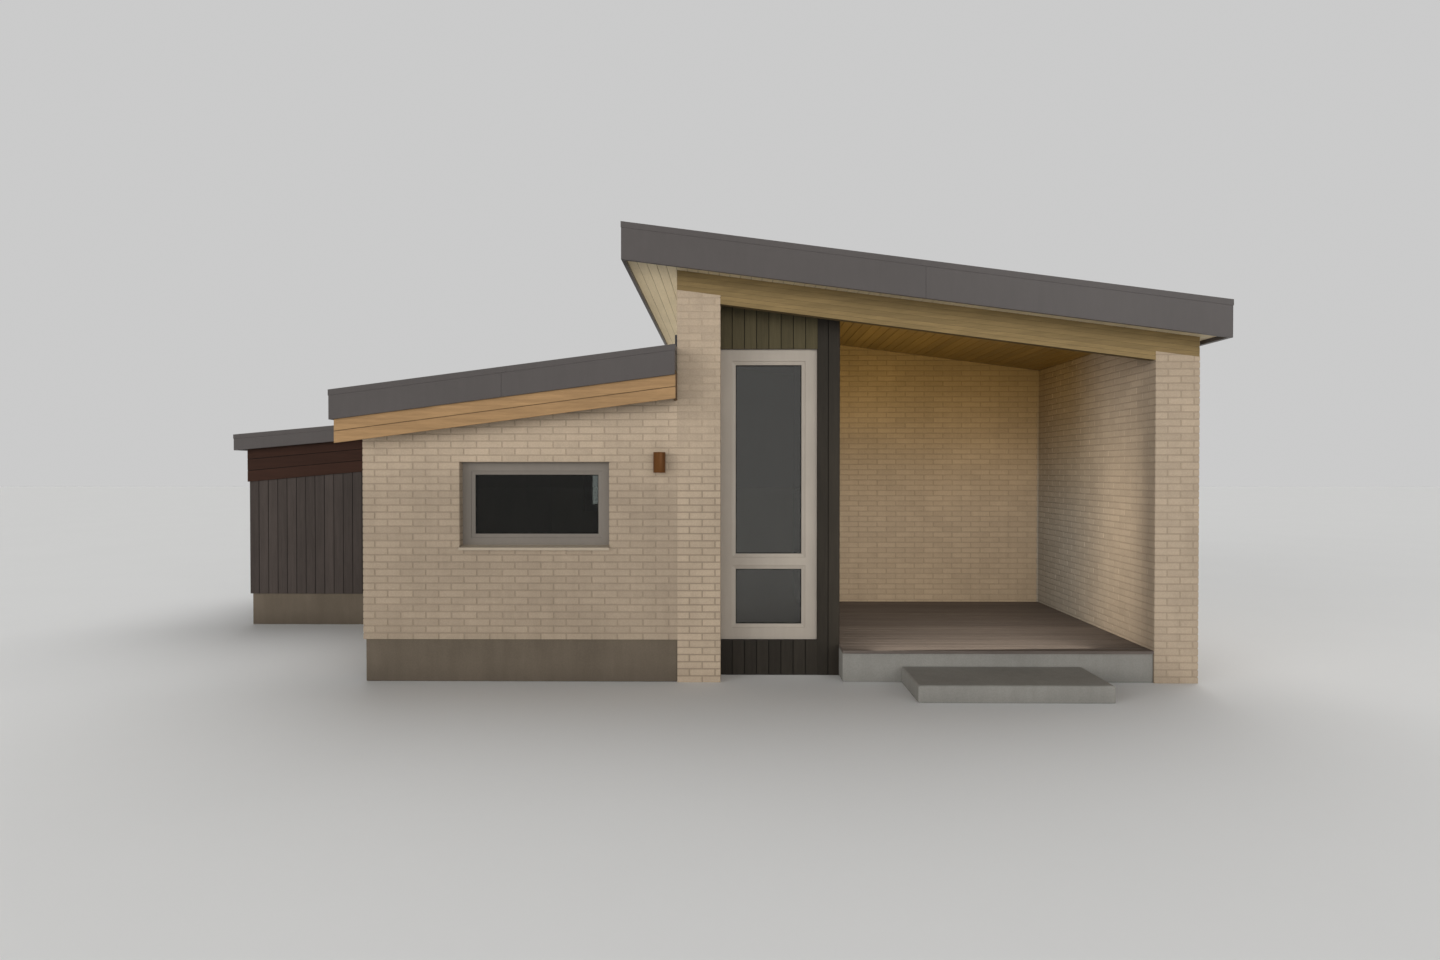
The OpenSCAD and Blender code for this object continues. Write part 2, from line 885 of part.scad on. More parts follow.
low_plinth();
tall_plinth();
annex_plinth();
porch_base();
porch_deck();
porch_step();
low_floor();
tall_floor();
annex_floor();
low_front_wall();
low_side_wall();
low_back_wall();
centre_wall();
right_wall();
tall_back_wall();
porch_back_wall();
porch_side_wall();
bay_base();
bay_head();
annex_front_wall();
annex_side_wall();
annex_back_wall();
annex_frieze();
low_roof();
low_felt();
low_fascia();
under_boards();
tall_roof();
tall_felt();
tall_fascia();
header_beam();
porch_ceiling();
low_ceiling();
tall_ceiling();
annex_roof();
annex_felt();
annex_fascia();
low_window_frame();
low_window_glass();
bay_window_frame();
bay_window_glass();
rear_window_frames();
rear_window_glass();
door_frame();
door_leaf();
window_sills();
wall_lamp();
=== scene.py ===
import bpy
import math
import random
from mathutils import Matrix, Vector


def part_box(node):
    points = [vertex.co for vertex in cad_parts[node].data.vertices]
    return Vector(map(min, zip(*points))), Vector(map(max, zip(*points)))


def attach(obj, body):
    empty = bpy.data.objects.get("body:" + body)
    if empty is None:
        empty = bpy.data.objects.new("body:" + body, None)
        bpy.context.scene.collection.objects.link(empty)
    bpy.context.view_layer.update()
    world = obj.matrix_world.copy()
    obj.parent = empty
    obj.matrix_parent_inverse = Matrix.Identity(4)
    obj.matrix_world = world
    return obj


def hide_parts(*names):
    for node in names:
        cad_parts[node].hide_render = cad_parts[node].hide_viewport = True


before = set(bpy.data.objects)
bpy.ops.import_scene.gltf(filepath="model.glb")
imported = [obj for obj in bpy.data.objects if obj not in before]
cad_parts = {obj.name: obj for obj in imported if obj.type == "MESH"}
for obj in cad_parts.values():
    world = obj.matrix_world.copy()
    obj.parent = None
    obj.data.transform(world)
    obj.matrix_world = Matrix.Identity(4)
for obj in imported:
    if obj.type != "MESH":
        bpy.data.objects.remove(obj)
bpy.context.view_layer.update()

# Brick walls
# The outer walls are brickwork under a thin sand-coloured wash, and the courses still show a little.
# The wall's own solid is the wash in the joints, and each brick stands a few millimetres proud.
# The wash is painted lighter towards the top of the walls as painted light, and the porch's walls carry
# painted warm light and painted shade.
BRICK_L, BRICK_H, JOINT = 0.228, 0.0547, 0.012
BRICK_PROUD, BRICK_EDGE, BRICK_UNEVEN = 0.0040, 0.0022, 0.0006
CUT_SPARE, COURSE_SPARE = 0.002, 0.01
BEAM_H, LINING_T = 0.190, 0.018
SAND_WASH = (0.655, 0.590, 0.512)
# The porch's walls are painted warm light deep in and golden near the ceiling, and painted shade on the
# side wall.
PORCH_PAINTED_WARM_LIGHT = (0.648, 0.575, 0.482)
SIDE_PAINTED_SHADE = (0.580, 0.548, 0.500)
CEILING_PAINTED_WARM_LIGHT = (0.600, 0.475, 0.265)
# The fins and the front of the porch are painted lighter than the walls, as painted light.
BRICK_TONE, JOINT_SHADE, FIN_PAINTED_LIGHT, PORCH_FRONT_PAINTED_LIGHT = 0.045, 0.93, 1.09, 1.08
JOINT_GRAIN, JOINT_DEPTH = 0.006, 0.004
CLOUD_SIZE, SAND_SIZE, RAIN_SIZE, RAIN_RUNS = 0.9, 0.012, 0.10, (1.0, 1.0, 0.12)
# The walls' tops are painted lighter between these heights, as painted light under the eaves.
TOP_LIGHT_FROM, TOP_LIGHT_TO, TOP_LIGHT_BRICK, TOP_LIGHT_JOINT = 1.6, 2.5, 1.42, 1.36
# Where the porch's painted light and painted shade change: back from the front, up, and across from the
# right wall's inner face.
WARM_LIGHT_FROM, WARM_LIGHT_TO, CEILING_LIGHT_FROM, CEILING_LIGHT_TO = 0.6, 2.2, 1.1, 3.6
SIDE_SHADE_FROM, SIDE_SHADE_TO, OUTSIDE_FROM, OUTSIDE_TO = -0.030, -0.015, 0.005, 0.030
BOARD_SHIFT = (37.0, 53.0, 71.0)
rng = random.Random(4)


def linear(colour):
    """A colour as it is seen, turned into the light that the shaders work in."""
    lit = [c / 12.92 if c <= 0.04045 else ((c + 0.055) / 1.055) ** 2.4 for c in colour]
    return (*lit, 1.0)


def dimmed(colour, share):
    """A colour made darker, or lighter where the share is over one."""
    return tuple(c * share for c in colour)


def new_finish(name, rough, metal=0.0, sheen=0.25):
    """An empty finish with its shader, ready for a colour and a relief."""
    made = bpy.data.materials.new(name)
    made.use_nodes = True
    shader = made.node_tree.nodes["Principled BSDF"]
    shader.inputs["Roughness"].default_value = rough
    shader.inputs["Metallic"].default_value = metal
    shader.inputs["Specular IOR Level"].default_value = sheen
    return made, made.node_tree, shader


def places(tree, stretch=(1.0, 1.0, 1.0), shuffled=False):
    """Places on the house in metres, stretched along a grain; shuffled, each board has its own."""
    here = tree.nodes.new("ShaderNodeTexCoord").outputs["Object"]
    scaled = tree.nodes.new("ShaderNodeVectorMath")
    scaled.operation = "MULTIPLY"
    scaled.inputs[1].default_value = stretch
    tree.links.new(here, scaled.inputs[0])
    if not shuffled:
        return scaled.outputs["Vector"]
    tone = tree.nodes.new("ShaderNodeAttribute")
    tone.attribute_name = "tone"
    moved = tree.nodes.new("ShaderNodeVectorMath")
    moved.operation = "MULTIPLY_ADD"
    moved.inputs[1].default_value = BOARD_SHIFT
    tree.links.new(tone.outputs["Vector"], moved.inputs[0])
    tree.links.new(scaled.outputs["Vector"], moved.inputs[2])
    return moved.outputs["Vector"]


def ranged(tree, value, low_in, high_in, low_out, high_out):
    """A value carried smoothly from one range to another."""
    spread = tree.nodes.new("ShaderNodeMapRange")
    spread.interpolation_type = "SMOOTHSTEP"
    ends = {"From Min": low_in, "From Max": high_in, "To Min": low_out, "To Max": high_out}
    for slot, number in ends.items():
        spread.inputs[slot].default_value = number
    tree.links.new(value, spread.inputs["Value"])
    return spread.outputs["Result"]


def cloudy(tree, where, size, darkest, lightest, detail=4.0):
    """A shade that wanders between two values, in patches of about the given size in metres."""
    noise = tree.nodes.new("ShaderNodeTexNoise")
    noise.inputs["Scale"].default_value = 1 / size
    noise.inputs["Detail"].default_value = detail
    noise.inputs["Roughness"].default_value = 0.6
    tree.links.new(where, noise.inputs["Vector"])
    return ranged(tree, noise.outputs["Fac"], 0.3, 0.7, darkest, lightest)


def own_tone(tree, span):
    """A shade of its own for each brick or board."""
    tone = tree.nodes.new("ShaderNodeAttribute")
    tone.attribute_name = "tone"
    return ranged(tree, tone.outputs["Fac"], 0.0, 1.0, 1 - span, 1 + span)


def along(tree, axis):
    """How far a place lies along one axis of the house, in metres."""
    split = tree.nodes.new("ShaderNodeSeparateXYZ")
    tree.links.new(tree.nodes.new("ShaderNodeTexCoord").outputs["Object"], split.inputs["Vector"])
    return split.outputs[axis]


def times(tree, *shades):
    """The product of several shades."""
    product = shades[0]
    for shade in shades[1:]:
        joined = tree.nodes.new("ShaderNodeMath")
        joined.operation = "MULTIPLY"
        tree.links.new(product, joined.inputs[0])
        tree.links.new(shade, joined.inputs[1])
        product = joined.outputs["Value"]
    return product


def blended(tree, one, other, share, kind="MIX"):
    """Two colours put together, where each is a colour or comes from a node."""
    mix = tree.nodes.new("ShaderNodeMix")
    mix.data_type = "RGBA"
    mix.blend_type = kind
    if isinstance(share, float):
        mix.inputs["Factor"].default_value = share
    else:
        tree.links.new(share, mix.inputs["Factor"])
    for colour, slot in ((one, "A"), (other, "B")):
        if isinstance(colour, tuple):
            mix.inputs[slot].default_value = linear(colour)
        else:
            tree.links.new(colour, mix.inputs[slot])
    return mix.outputs["Result"]


def colour_it(tree, shader, colour, *shades):
    """Gives the shader its colour, made lighter and darker by the shades."""
    shaded = blended(tree, colour, times(tree, *shades), 1.0, "MULTIPLY")
    tree.links.new(shaded, shader.inputs["Base Color"])


def roughen(tree, shader, where, size, depth, strength=0.5):
    """A relief of grains of the given size and depth in metres."""
    grains = tree.nodes.new("ShaderNodeTexNoise")
    grains.inputs["Scale"].default_value = 1 / size
    grains.inputs["Detail"].default_value = 3.0
    bump = tree.nodes.new("ShaderNodeBump")
    bump.inputs["Strength"].default_value = strength
    bump.inputs["Distance"].default_value = depth
    tree.links.new(where, grains.inputs["Vector"])
    tree.links.new(grains.outputs["Fac"], bump.inputs["Height"])
    tree.links.new(bump.outputs["Normal"], shader.inputs["Normal"])


def mineral(name, colour, rough=0.9, clouds=0.06, speckle=0.05, grain=0.004, depth=0.002,
            soil=(0.25, 0.92), tone=0.0, top_light=1.0):
    """Wash, render, grit or concrete: clouds, fine sand, rain marks, soil at the foot, and a top painted
    lighter as painted light.
    """
    made, tree, shader = new_finish(name, rough)
    here = places(tree)
    shades = [
        cloudy(tree, here, CLOUD_SIZE, 1 - clouds, 1 + clouds),
        cloudy(tree, here, SAND_SIZE, 1 - speckle, 1 + speckle, 2.0),
        cloudy(tree, places(tree, RAIN_RUNS), RAIN_SIZE, 1 - clouds / 2, 1 + clouds / 2),
        ranged(tree, along(tree, "Z"), 0.0, soil[0], soil[1], 1.0),
        # painted light: lighter towards the top of the wall
        ranged(tree, along(tree, "Z"), TOP_LIGHT_FROM, TOP_LIGHT_TO, 1.0, top_light),
        own_tone(tree, tone),
    ]
    colour_it(tree, shader, colour(tree) if callable(colour) else colour, *shades)
    roughen(tree, shader, here, grain, depth)
    return made


def porch_painted_light(share):
    """The porch's wash with painted light: lighter in front, warmer deep in, golden near the ceiling;
    painted shade on the side wall.
    """
    def colour(tree):
        across, back, up = along(tree, "X"), along(tree, "Y"), along(tree, "Z")
        inside = ranged(tree, across, INNER_X + OUTSIDE_FROM, INNER_X + OUTSIDE_TO, 1.0, 0.0)
        behind = ranged(tree, back, FRONT_Y + WARM_LIGHT_FROM, FRONT_Y + WARM_LIGHT_TO, 0.0, 1.0)
        deep = times(tree, inside, behind)
        ceiling_lit = times(tree, deep, ranged(tree, up, CEILING_LIGHT_FROM, CEILING_LIGHT_TO, 0.0, 1.0))
        side_shaded = ranged(tree, across, INNER_X + SIDE_SHADE_FROM, INNER_X + SIDE_SHADE_TO, 0.0, 1.0)
        wash = blended(tree, dimmed(PORCH_PAINTED_WARM_LIGHT, share), dimmed(SIDE_PAINTED_SHADE, share), side_shaded)
        warm_lit = blended(tree, dimmed(SAND_WASH, PORCH_FRONT_PAINTED_LIGHT * share), wash, deep)
        return blended(tree, warm_lit, dimmed(CEILING_PAINTED_WARM_LIGHT, share), ceiling_lit)
    return colour


def inset(outline, by):
    """The same convex outline with every side moved in."""
    made = []
    count = len(outline)
    for i in range(count):
        a, b, c = (Vector(outline[(i + k) % count]) for k in (-1, 0, 1))
        one, two = (b - a).normalized(), (c - b).normalized()
        turn = one.x * two.y - one.y * two.x
        made.append(tuple(b + (two - one) * (by / turn)) if abs(turn) > 1e-6 else tuple(b))
    return made


def new_batch():
    """Like pieces that are gathered one by one and then made as one mesh."""
    return {"points": [], "faces": [], "tones": []}


def raise_piece(batch, outline, place, thick, edge=0.0, tone=0.5):
    """A brick or board: an outline on a face, raised by its thickness, its front edge chamfered."""
    count, first = len(outline), len(batch["points"])
    rings = [(outline, 0.0), (outline, thick - edge)]
    if edge:
        rings.append((inset(outline, edge), thick))
    for ring, height in rings:
        batch["points"] += [place(u, w, height) for u, w in ring]
    faces = [[first + i for i in reversed(range(count))]]
    for level in range(len(rings) - 1):
        base = first + level * count
        for i in range(count):
            j = (i + 1) % count
            faces.append([base + i, base + j, base + count + j, base + count + i])
    faces.append([first + (len(rings) - 1) * count + i for i in range(count)])
    batch["faces"] += faces
    batch["tones"] += [tone] * len(faces)


def make_piece(name, batch, finish, nodes=()):
    """A mesh from a batch, riding on the house; it stands for the frame's nodes that are named."""
    mesh = bpy.data.meshes.new(name)
    mesh.from_pydata(batch["points"], [], batch["faces"])
    mesh.attributes.new("tone", "FLOAT", "FACE").data.foreach_set("value", batch["tones"])
    mesh.materials.append(finish)
    made = bpy.data.objects.new(name, mesh)
    bpy.context.scene.collection.objects.link(made)
    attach(made, "root")
    if nodes:
        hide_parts(*nodes)


def finish_nodes(finish, *nodes):
    """Gives the frame's own solids their finish."""
    for node in nodes:
        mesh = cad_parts[node].data
        mesh.materials.clear()
        mesh.materials.append(finish)


def cut_below(outline, top):
    """The part of a convex outline that lies below a sloping line."""
    made = []
    for i, (u, w) in enumerate(outline):
        v, x = outline[(i + 1) % len(outline)]
        here, there = top(u) - w, top(v) - x
        if here >= 0:
            made.append((u, w))
        if (here < 0) != (there < 0):
            share = here / (here - there)
            made.append((u + (v - u) * share, w + (x - w) * share))
    return made


def around(u0, w0, u1, w1, hole):
    """A rectangle less an opening, as smaller rectangles."""
    if not hole or u1 <= hole[0] or u0 >= hole[2] or w1 <= hole[1] or w0 >= hole[3]:
        return [(u0, w0, u1, w1)]
    middle = (max(u0, hole[0]), min(u1, hole[2]))
    parts = [
        (u0, w0, hole[0], w1), (hole[2], w0, u1, w1),
        (middle[0], w0, middle[1], hole[1]), (middle[0], hole[3], middle[1], w1),
    ]
    return [part for part in parts if part[2] > part[0] and part[3] > part[1]]


def lay_bricks(batch, place, span, foot, top, bond=0, hole=None):
    """Courses in stretcher bond over one face of a wall, cut at its sloping top and at its opening."""
    step_u, step_w = BRICK_L + JOINT, BRICK_H + JOINT
    smallest = JOINT + CUT_SPARE
    course = math.floor(foot / step_w + COURSE_SPARE)
    while course * step_w < max(top(span[0]), top(span[1])):
        w0, w1 = max(course * step_w, foot), course * step_w + BRICK_H
        u = span[0] - (step_u / 2 if (course + bond) % 2 else 0.0)
        while u < span[1]:
            for a, b, c, d in around(max(u, span[0]), w0, min(u + BRICK_L, span[1]), w1, hole):
                shape = cut_below([(a, b), (c, b), (c, d), (a, d)], top)
                if len(shape) < 3 or c - a < smallest or max(w for _, w in shape) - b < smallest:
                    continue
                proud = BRICK_PROUD + rng.uniform(-BRICK_UNEVEN, BRICK_UNEVEN)
                edge = BRICK_EDGE if len(shape) == 4 else 0.0
                raise_piece(batch, shape, place, proud, edge, rng.random())
            u += step_u
        course += 1


def facing_front(y):
    """A face to the front: takes a place across it, up it and out from it to a place on the house."""
    return lambda u, w, h: (u, y - h, w)


def facing_back(y):
    return lambda u, w, h: (-u, y + h, w)


def facing_left(x):
    return lambda u, w, h: (x - h, -u, w)


def facing_right(x):
    return lambda u, w, h: (x + h, u, w)


def low(node):
    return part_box(node)[0]


def high(node):
    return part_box(node)[1]


def line_through(x0, z0, x1, z1):
    return lambda x: z0 + (x - x0) * (z1 - z0) / (x1 - x0)


LEFT_X, FIN_X, BAY_X = low("low_front_wall").x, low("centre_wall").x, high("centre_wall").x
PORCH_X, INNER_X, RIGHT_X = high("porch_side_wall").x, low("right_wall").x, high("right_wall").x
FRONT_Y, BACK_Y = low("centre_wall").y, high("centre_wall").y
BAY_Y, PORCH_Y = low("bay_base").y, low("porch_back_wall").y
PLINTH_Z, DECK_Z = high("low_plinth").z, high("porch_deck").z
low_under = line_through(low("low_roof").x, low("low_roof").z, FIN_X, high("low_front_wall").z)
tall_under = line_through(FIN_X, high("centre_wall").z, high("tall_roof").x, low("tall_roof").z)
annex_under = line_through(low("annex_roof").x, low("annex_roof").z, high("annex_side_wall").x,
                           high("annex_side_wall").z)

washed_brick = mineral("sand_wash", SAND_WASH, tone=BRICK_TONE, top_light=TOP_LIGHT_BRICK)
# The fins' bricks are the same wash painted lighter, as painted light on the fins.
fin_brick_painted_light = mineral("fin_painted_light_wash", dimmed(SAND_WASH, FIN_PAINTED_LIGHT), tone=BRICK_TONE)
washed_joint = mineral("sand_wash_joints", dimmed(SAND_WASH, JOINT_SHADE), grain=JOINT_GRAIN,
                       depth=JOINT_DEPTH, top_light=TOP_LIGHT_JOINT)
# The porch's walls and the right fin carry painted light and painted shade in their wash.
porch_brick_painted_light = mineral("porch_painted_light_wash", porch_painted_light(1.0), tone=BRICK_TONE)
porch_joint_painted_light = mineral("porch_painted_light_joints", porch_painted_light(JOINT_SHADE), grain=JOINT_GRAIN, depth=JOINT_DEPTH)
finish_nodes(washed_joint, "low_front_wall", "low_side_wall", "low_back_wall", "centre_wall",
             "tall_back_wall")
finish_nodes(porch_joint_painted_light, "porch_back_wall", "right_wall")

win_lo, win_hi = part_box("low_window_frame")
WIN_W = win_hi.x - win_lo.x
rear_mid = (BAY_X + INNER_X) / 2
side_mid = (high("porch_back_wall").y + low("tall_back_wall").y) / 2
front_hole = (win_lo.x, win_lo.z, win_hi.x, win_hi.z)
low_back_hole = (-win_hi.x, win_lo.z, -win_lo.x, win_hi.z)
tall_back_hole = (-rear_mid - WIN_W / 2, win_lo.z, -rear_mid + WIN_W / 2, win_hi.z)
side_hole = (side_mid - WIN_W / 2, win_lo.z, side_mid + WIN_W / 2, win_hi.z)

low_bricks = new_batch()
lay_bricks(low_bricks, facing_front(FRONT_Y), (LEFT_X - BRICK_PROUD, FIN_X), PLINTH_Z, low_under,
           hole=front_hole)
lay_bricks(low_bricks, facing_left(LEFT_X), (-BACK_Y, -FRONT_Y), PLINTH_Z,
           lambda u: low_under(LEFT_X), bond=1)
lay_bricks(low_bricks, facing_back(BACK_Y), (-FIN_X, -LEFT_X + BRICK_PROUD), PLINTH_Z,
           lambda u: low_under(-u), hole=low_back_hole)
make_piece("low_block_bricks", low_bricks, washed_brick)

left_fin = new_batch()
lay_bricks(left_fin, facing_front(FRONT_Y), (FIN_X, BAY_X + BRICK_PROUD), 0.0,
           lambda u: tall_under(u) - BEAM_H)
lay_bricks(left_fin, facing_back(BACK_Y), (-BAY_X, -FIN_X), 0.0, lambda u: tall_under(-u))
lay_bricks(left_fin, facing_left(FIN_X), (-BACK_Y, -FRONT_Y), high("low_felt").z,
           lambda u: tall_under(FIN_X), bond=1)
lay_bricks(left_fin, facing_right(BAY_X), (FRONT_Y, BAY_Y), 0.0,
           lambda u: tall_under(BAY_X) - LINING_T, bond=1)
make_piece("left_fin_bricks", left_fin, fin_brick_painted_light)

right_fin = new_batch()
lay_bricks(right_fin, facing_front(FRONT_Y), (INNER_X - BRICK_PROUD, RIGHT_X + BRICK_PROUD), 0.0,
           lambda u: tall_under(u) - BEAM_H)
lay_bricks(right_fin, facing_back(BACK_Y), (-RIGHT_X - BRICK_PROUD, -INNER_X), 0.0,
           lambda u: tall_under(-u))
lay_bricks(right_fin, facing_right(RIGHT_X), (FRONT_Y, BACK_Y), 0.0,
           lambda u: tall_under(RIGHT_X), bond=1, hole=side_hole)
lay_bricks(right_fin, facing_left(INNER_X), (-PORCH_Y, -FRONT_Y), DECK_Z,
           lambda u: tall_under(INNER_X) - LINING_T, bond=1)
make_piece("right_fin_bricks", right_fin, porch_brick_painted_light)

rear_bricks = new_batch()
lay_bricks(rear_bricks, facing_back(BACK_Y), (-INNER_X, -BAY_X), PLINTH_Z, lambda u: tall_under(-u),
           hole=tall_back_hole)
make_piece("rear_wall_bricks", rear_bricks, washed_brick)

porch_bricks = new_batch()
lay_bricks(porch_bricks, facing_front(PORCH_Y), (PORCH_X, INNER_X), DECK_Z,
           lambda u: tall_under(u) - LINING_T)
make_piece("porch_wall_bricks", porch_bricks, porch_brick_painted_light)

# Plinths, porch base and step
# Strips of concrete with a brown-grey render, floated smooth, with slightly rounded edges.
# The porch's base and the step are cast blocks of a greyer concrete.
PLINTH_COLOUR = (0.415, 0.375, 0.325)
CAST_COLOUR = (0.570, 0.560, 0.535)
CAST_EDGE, EDGE_STEPS, WELD_REACH = 0.006, 2, 0.0001
FLAT_ANGLE, SHARP_ANGLE = 0.5, 30
plinth_render = mineral("plinth_render", PLINTH_COLOUR, clouds=0.10, grain=0.003, soil=(0.20, 0.85))
cast_concrete = mineral("cast_concrete", CAST_COLOUR, clouds=0.08, grain=0.002, depth=0.001,
                        soil=(0.12, 0.90))


def soften(node, finish, edge):
    """A copy of one of the frame's solids with its edges rounded, which then stands for it."""
    made = bpy.data.objects.new("finished_" + node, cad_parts[node].data.copy())
    bpy.context.scene.collection.objects.link(made)
    made.data.materials.clear()
    made.data.materials.append(finish)
    joined = made.modifiers.new("joined", "WELD")
    joined.merge_threshold = WELD_REACH
    flat = made.modifiers.new("flat_faces", "DECIMATE")
    flat.decimate_type = "DISSOLVE"
    flat.angle_limit = math.radians(FLAT_ANGLE)
    soft = made.modifiers.new("rounded_edges", "BEVEL")
    soft.width = edge
    soft.segments = EDGE_STEPS
    soft.limit_method = "ANGLE"
    soft.angle_limit = math.radians(SHARP_ANGLE)
    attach(made, "root")
    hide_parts(node)


for node in ("low_plinth", "tall_plinth", "annex_plinth"):
    soften(node, plinth_render, CAST_EDGE)
for node in ("porch_base", "porch_step"):
    soften(node, cast_concrete, CAST_EDGE)

# Porch deck
# Weathered brown boards laid across the porch with narrow gaps between them.
# They rest on the base and stand out a little over its front.
DECK_BOARD_W, DECK_GAP, DECK_EDGE = 0.120, 0.006, 0.004
DECK_COLOUR = (0.385, 0.350, 0.325)
GRAIN_STRETCH, STREAK_SIZE, FIBRE_SIZE, WEATHER_SIZE = 0.06, 0.035, 0.006, 1.3
GRAIN_SIZE, GRAIN_DEPTH, GRAIN_RELIEF = 0.004, 0.0015, 0.4


def stained_wood(name, colour, grain_axis, rough=0.7, tone=0.12, clouds=0.10):
    """Stained boards with the grain along one axis; each board has a tone and a grain of its own."""
    made, tree, shader = new_finish(name, rough)
    stretch = tuple(GRAIN_STRETCH if axis == grain_axis else 1.0 for axis in "XYZ")
    grain = places(tree, stretch, shuffled=True)
    shades = [
        own_tone(tree, tone),
        cloudy(tree, grain, STREAK_SIZE, 1 - clouds, 1 + clouds),
        cloudy(tree, grain, FIBRE_SIZE, 0.94, 1.06, 2.0),
        cloudy(tree, places(tree), WEATHER_SIZE, 0.95, 1.05),
    ]
    colour_it(tree, shader, colour, *shades)
    roughen(tree, shader, grain, GRAIN_SIZE, GRAIN_DEPTH, GRAIN_RELIEF)
    return made


deck_lo, deck_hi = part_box("porch_deck")
deck_wood = stained_wood("deck_wood", DECK_COLOUR, "X")
deck = new_batch()
y = deck_lo.y
while y < deck_hi.y - DECK_GAP:
    far = min(y + DECK_BOARD_W, deck_hi.y)
    raise_piece(deck, [(deck_lo.x, y), (deck_hi.x, y), (deck_hi.x, far), (deck_lo.x, far)],
                lambda u, w, h: (u, w, deck_lo.z + h), deck_hi.z - deck_lo.z, DECK_EDGE, rng.random())
    y += DECK_BOARD_W + DECK_GAP
make_piece("deck_boards", deck, deck_wood, ["porch_deck"])

# Dark boarding of the bay, of the porch's side wall and of the annex
# Upright boards with a dark stain, nailed side by side with a narrow gap, over a solid painted near black
# as painted shadow.
# The bay's head, in the shelter of the roof, has kept more of its brown.
BOARD_W, BOARD_GAP, BOARD_PROUD, BOARD_EDGE = 0.116, 0.006, 0.006, 0.002
DARK_COLOUR = (0.175, 0.158, 0.135)
HEAD_COLOUR = (0.300, 0.272, 0.195)
ANNEX_COLOUR = (0.285, 0.255, 0.238)
GAP_PAINTED_SHADOW_COLOUR = (0.075, 0.068, 0.060)
dark_stain = stained_wood("dark_stain", DARK_COLOUR, "Z", tone=0.14)
head_stain = stained_wood("bay_head_stain", HEAD_COLOUR, "Z")
annex_stain = stained_wood("annex_stain", ANNEX_COLOUR, "Z")
# The solids behind the boards are painted near black, as painted shadow in the gaps between the boards.
board_gap_painted_shadow = mineral("board_gap_painted_shadow", GAP_PAINTED_SHADOW_COLOUR, clouds=0.02)
finish_nodes(board_gap_painted_shadow, "porch_side_wall", "bay_base", "bay_head", "annex_front_wall", "annex_side_wall",
             "annex_back_wall", "annex_frieze")


def upright_boards(batch, place, span, foot, top, hole=None):
    """Boards side by side over one face of a wall, cut at its sloping top and at its opening."""
    count = max(1, round((span[1] - span[0] + BOARD_GAP) / (BOARD_W + BOARD_GAP)))
    step = (span[1] - span[0] + BOARD_GAP) / count
    for i in range(count):
        a = span[0] + i * step
        b = a + step - BOARD_GAP
        tone = rng.random()
        for p, q, r, s in around(a, foot, b, max(top(a), top(b)), hole):
            shape = cut_below([(p, q), (r, q), (r, s), (p, s)], top)
            if len(shape) > 2 and r - p > BOARD_GAP:
                raise_piece(batch, shape, place, BOARD_PROUD, BOARD_EDGE, tone)


side_lo, side_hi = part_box("porch_side_wall")
door_lo, door_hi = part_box("door_frame")
doorway = (door_lo.y, door_lo.z, door_hi.y, door_hi.z)
side_boards = new_batch()
upright_boards(side_boards, facing_right(side_hi.x), (side_lo.y - BOARD_PROUD, PORCH_Y), 0.0,
               lambda u: tall_under(side_hi.x) - LINING_T, hole=doorway)
upright_boards(side_boards, facing_front(side_lo.y), (side_lo.x, side_hi.x), 0.0,
               lambda u: tall_under(u) - LINING_T)
make_piece("porch_side_boards", side_boards, dark_stain)

bay_lo, bay_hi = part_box("bay_base")
base_boards = new_batch()
upright_boards(base_boards, facing_front(bay_lo.y), (bay_lo.x, bay_hi.x), 0.0, lambda u: bay_hi.z)
make_piece("bay_base_boards", base_boards, dark_stain)
head_boards = new_batch()
upright_boards(head_boards, facing_front(bay_lo.y), (bay_lo.x, bay_hi.x), low("bay_head").z,
               lambda u: tall_under(u) - LINING_T)
make_piece("bay_head_boards", head_boards, head_stain)

annex_lo, annex_hi = low("annex_front_wall"), high("annex_back_wall")
EAVE_X, EAVE_Z = low("low_fascia").x, low("low_fascia").z
FRIEZE_H = annex_under(low("annex_frieze").x) - low("annex_frieze").z
annex_boards = new_batch()
for place, turn in ((facing_front(annex_lo.y), 1), (facing_back(annex_hi.y), -1)):
    for x0, x1 in ((annex_lo.x - BOARD_PROUD, EAVE_X - BOARD_GAP), (EAVE_X, annex_hi.x)):
        upright_boards(annex_boards, place, (x0, x1) if turn > 0 else (-x1, -x0), annex_lo.z,
                       lambda u: annex_under(turn * u) - FRIEZE_H)
upright_boards(annex_boards, facing_left(annex_lo.x), (-annex_hi.y, -annex_lo.y), annex_lo.z,
               lambda u: annex_under(annex_lo.x) - FRIEZE_H)
make_piece("annex_boards", annex_boards, annex_stain)

# Annex frieze
# Red-brown boards, three high, that run round the top of the annex under its roof.
# They follow the roof's slope and are cut where they run in under the eave of the house.
FRIEZE_COLOUR = (0.215, 0.135, 0.100)
FRIEZE_ROWS, FRIEZE_PROUD = 3, 0.004
frieze_stain = stained_wood("frieze_stain", FRIEZE_COLOUR, "X", tone=0.10)
frieze_side_stain = stained_wood("frieze_side_stain", FRIEZE_COLOUR, "Y", tone=0.10)


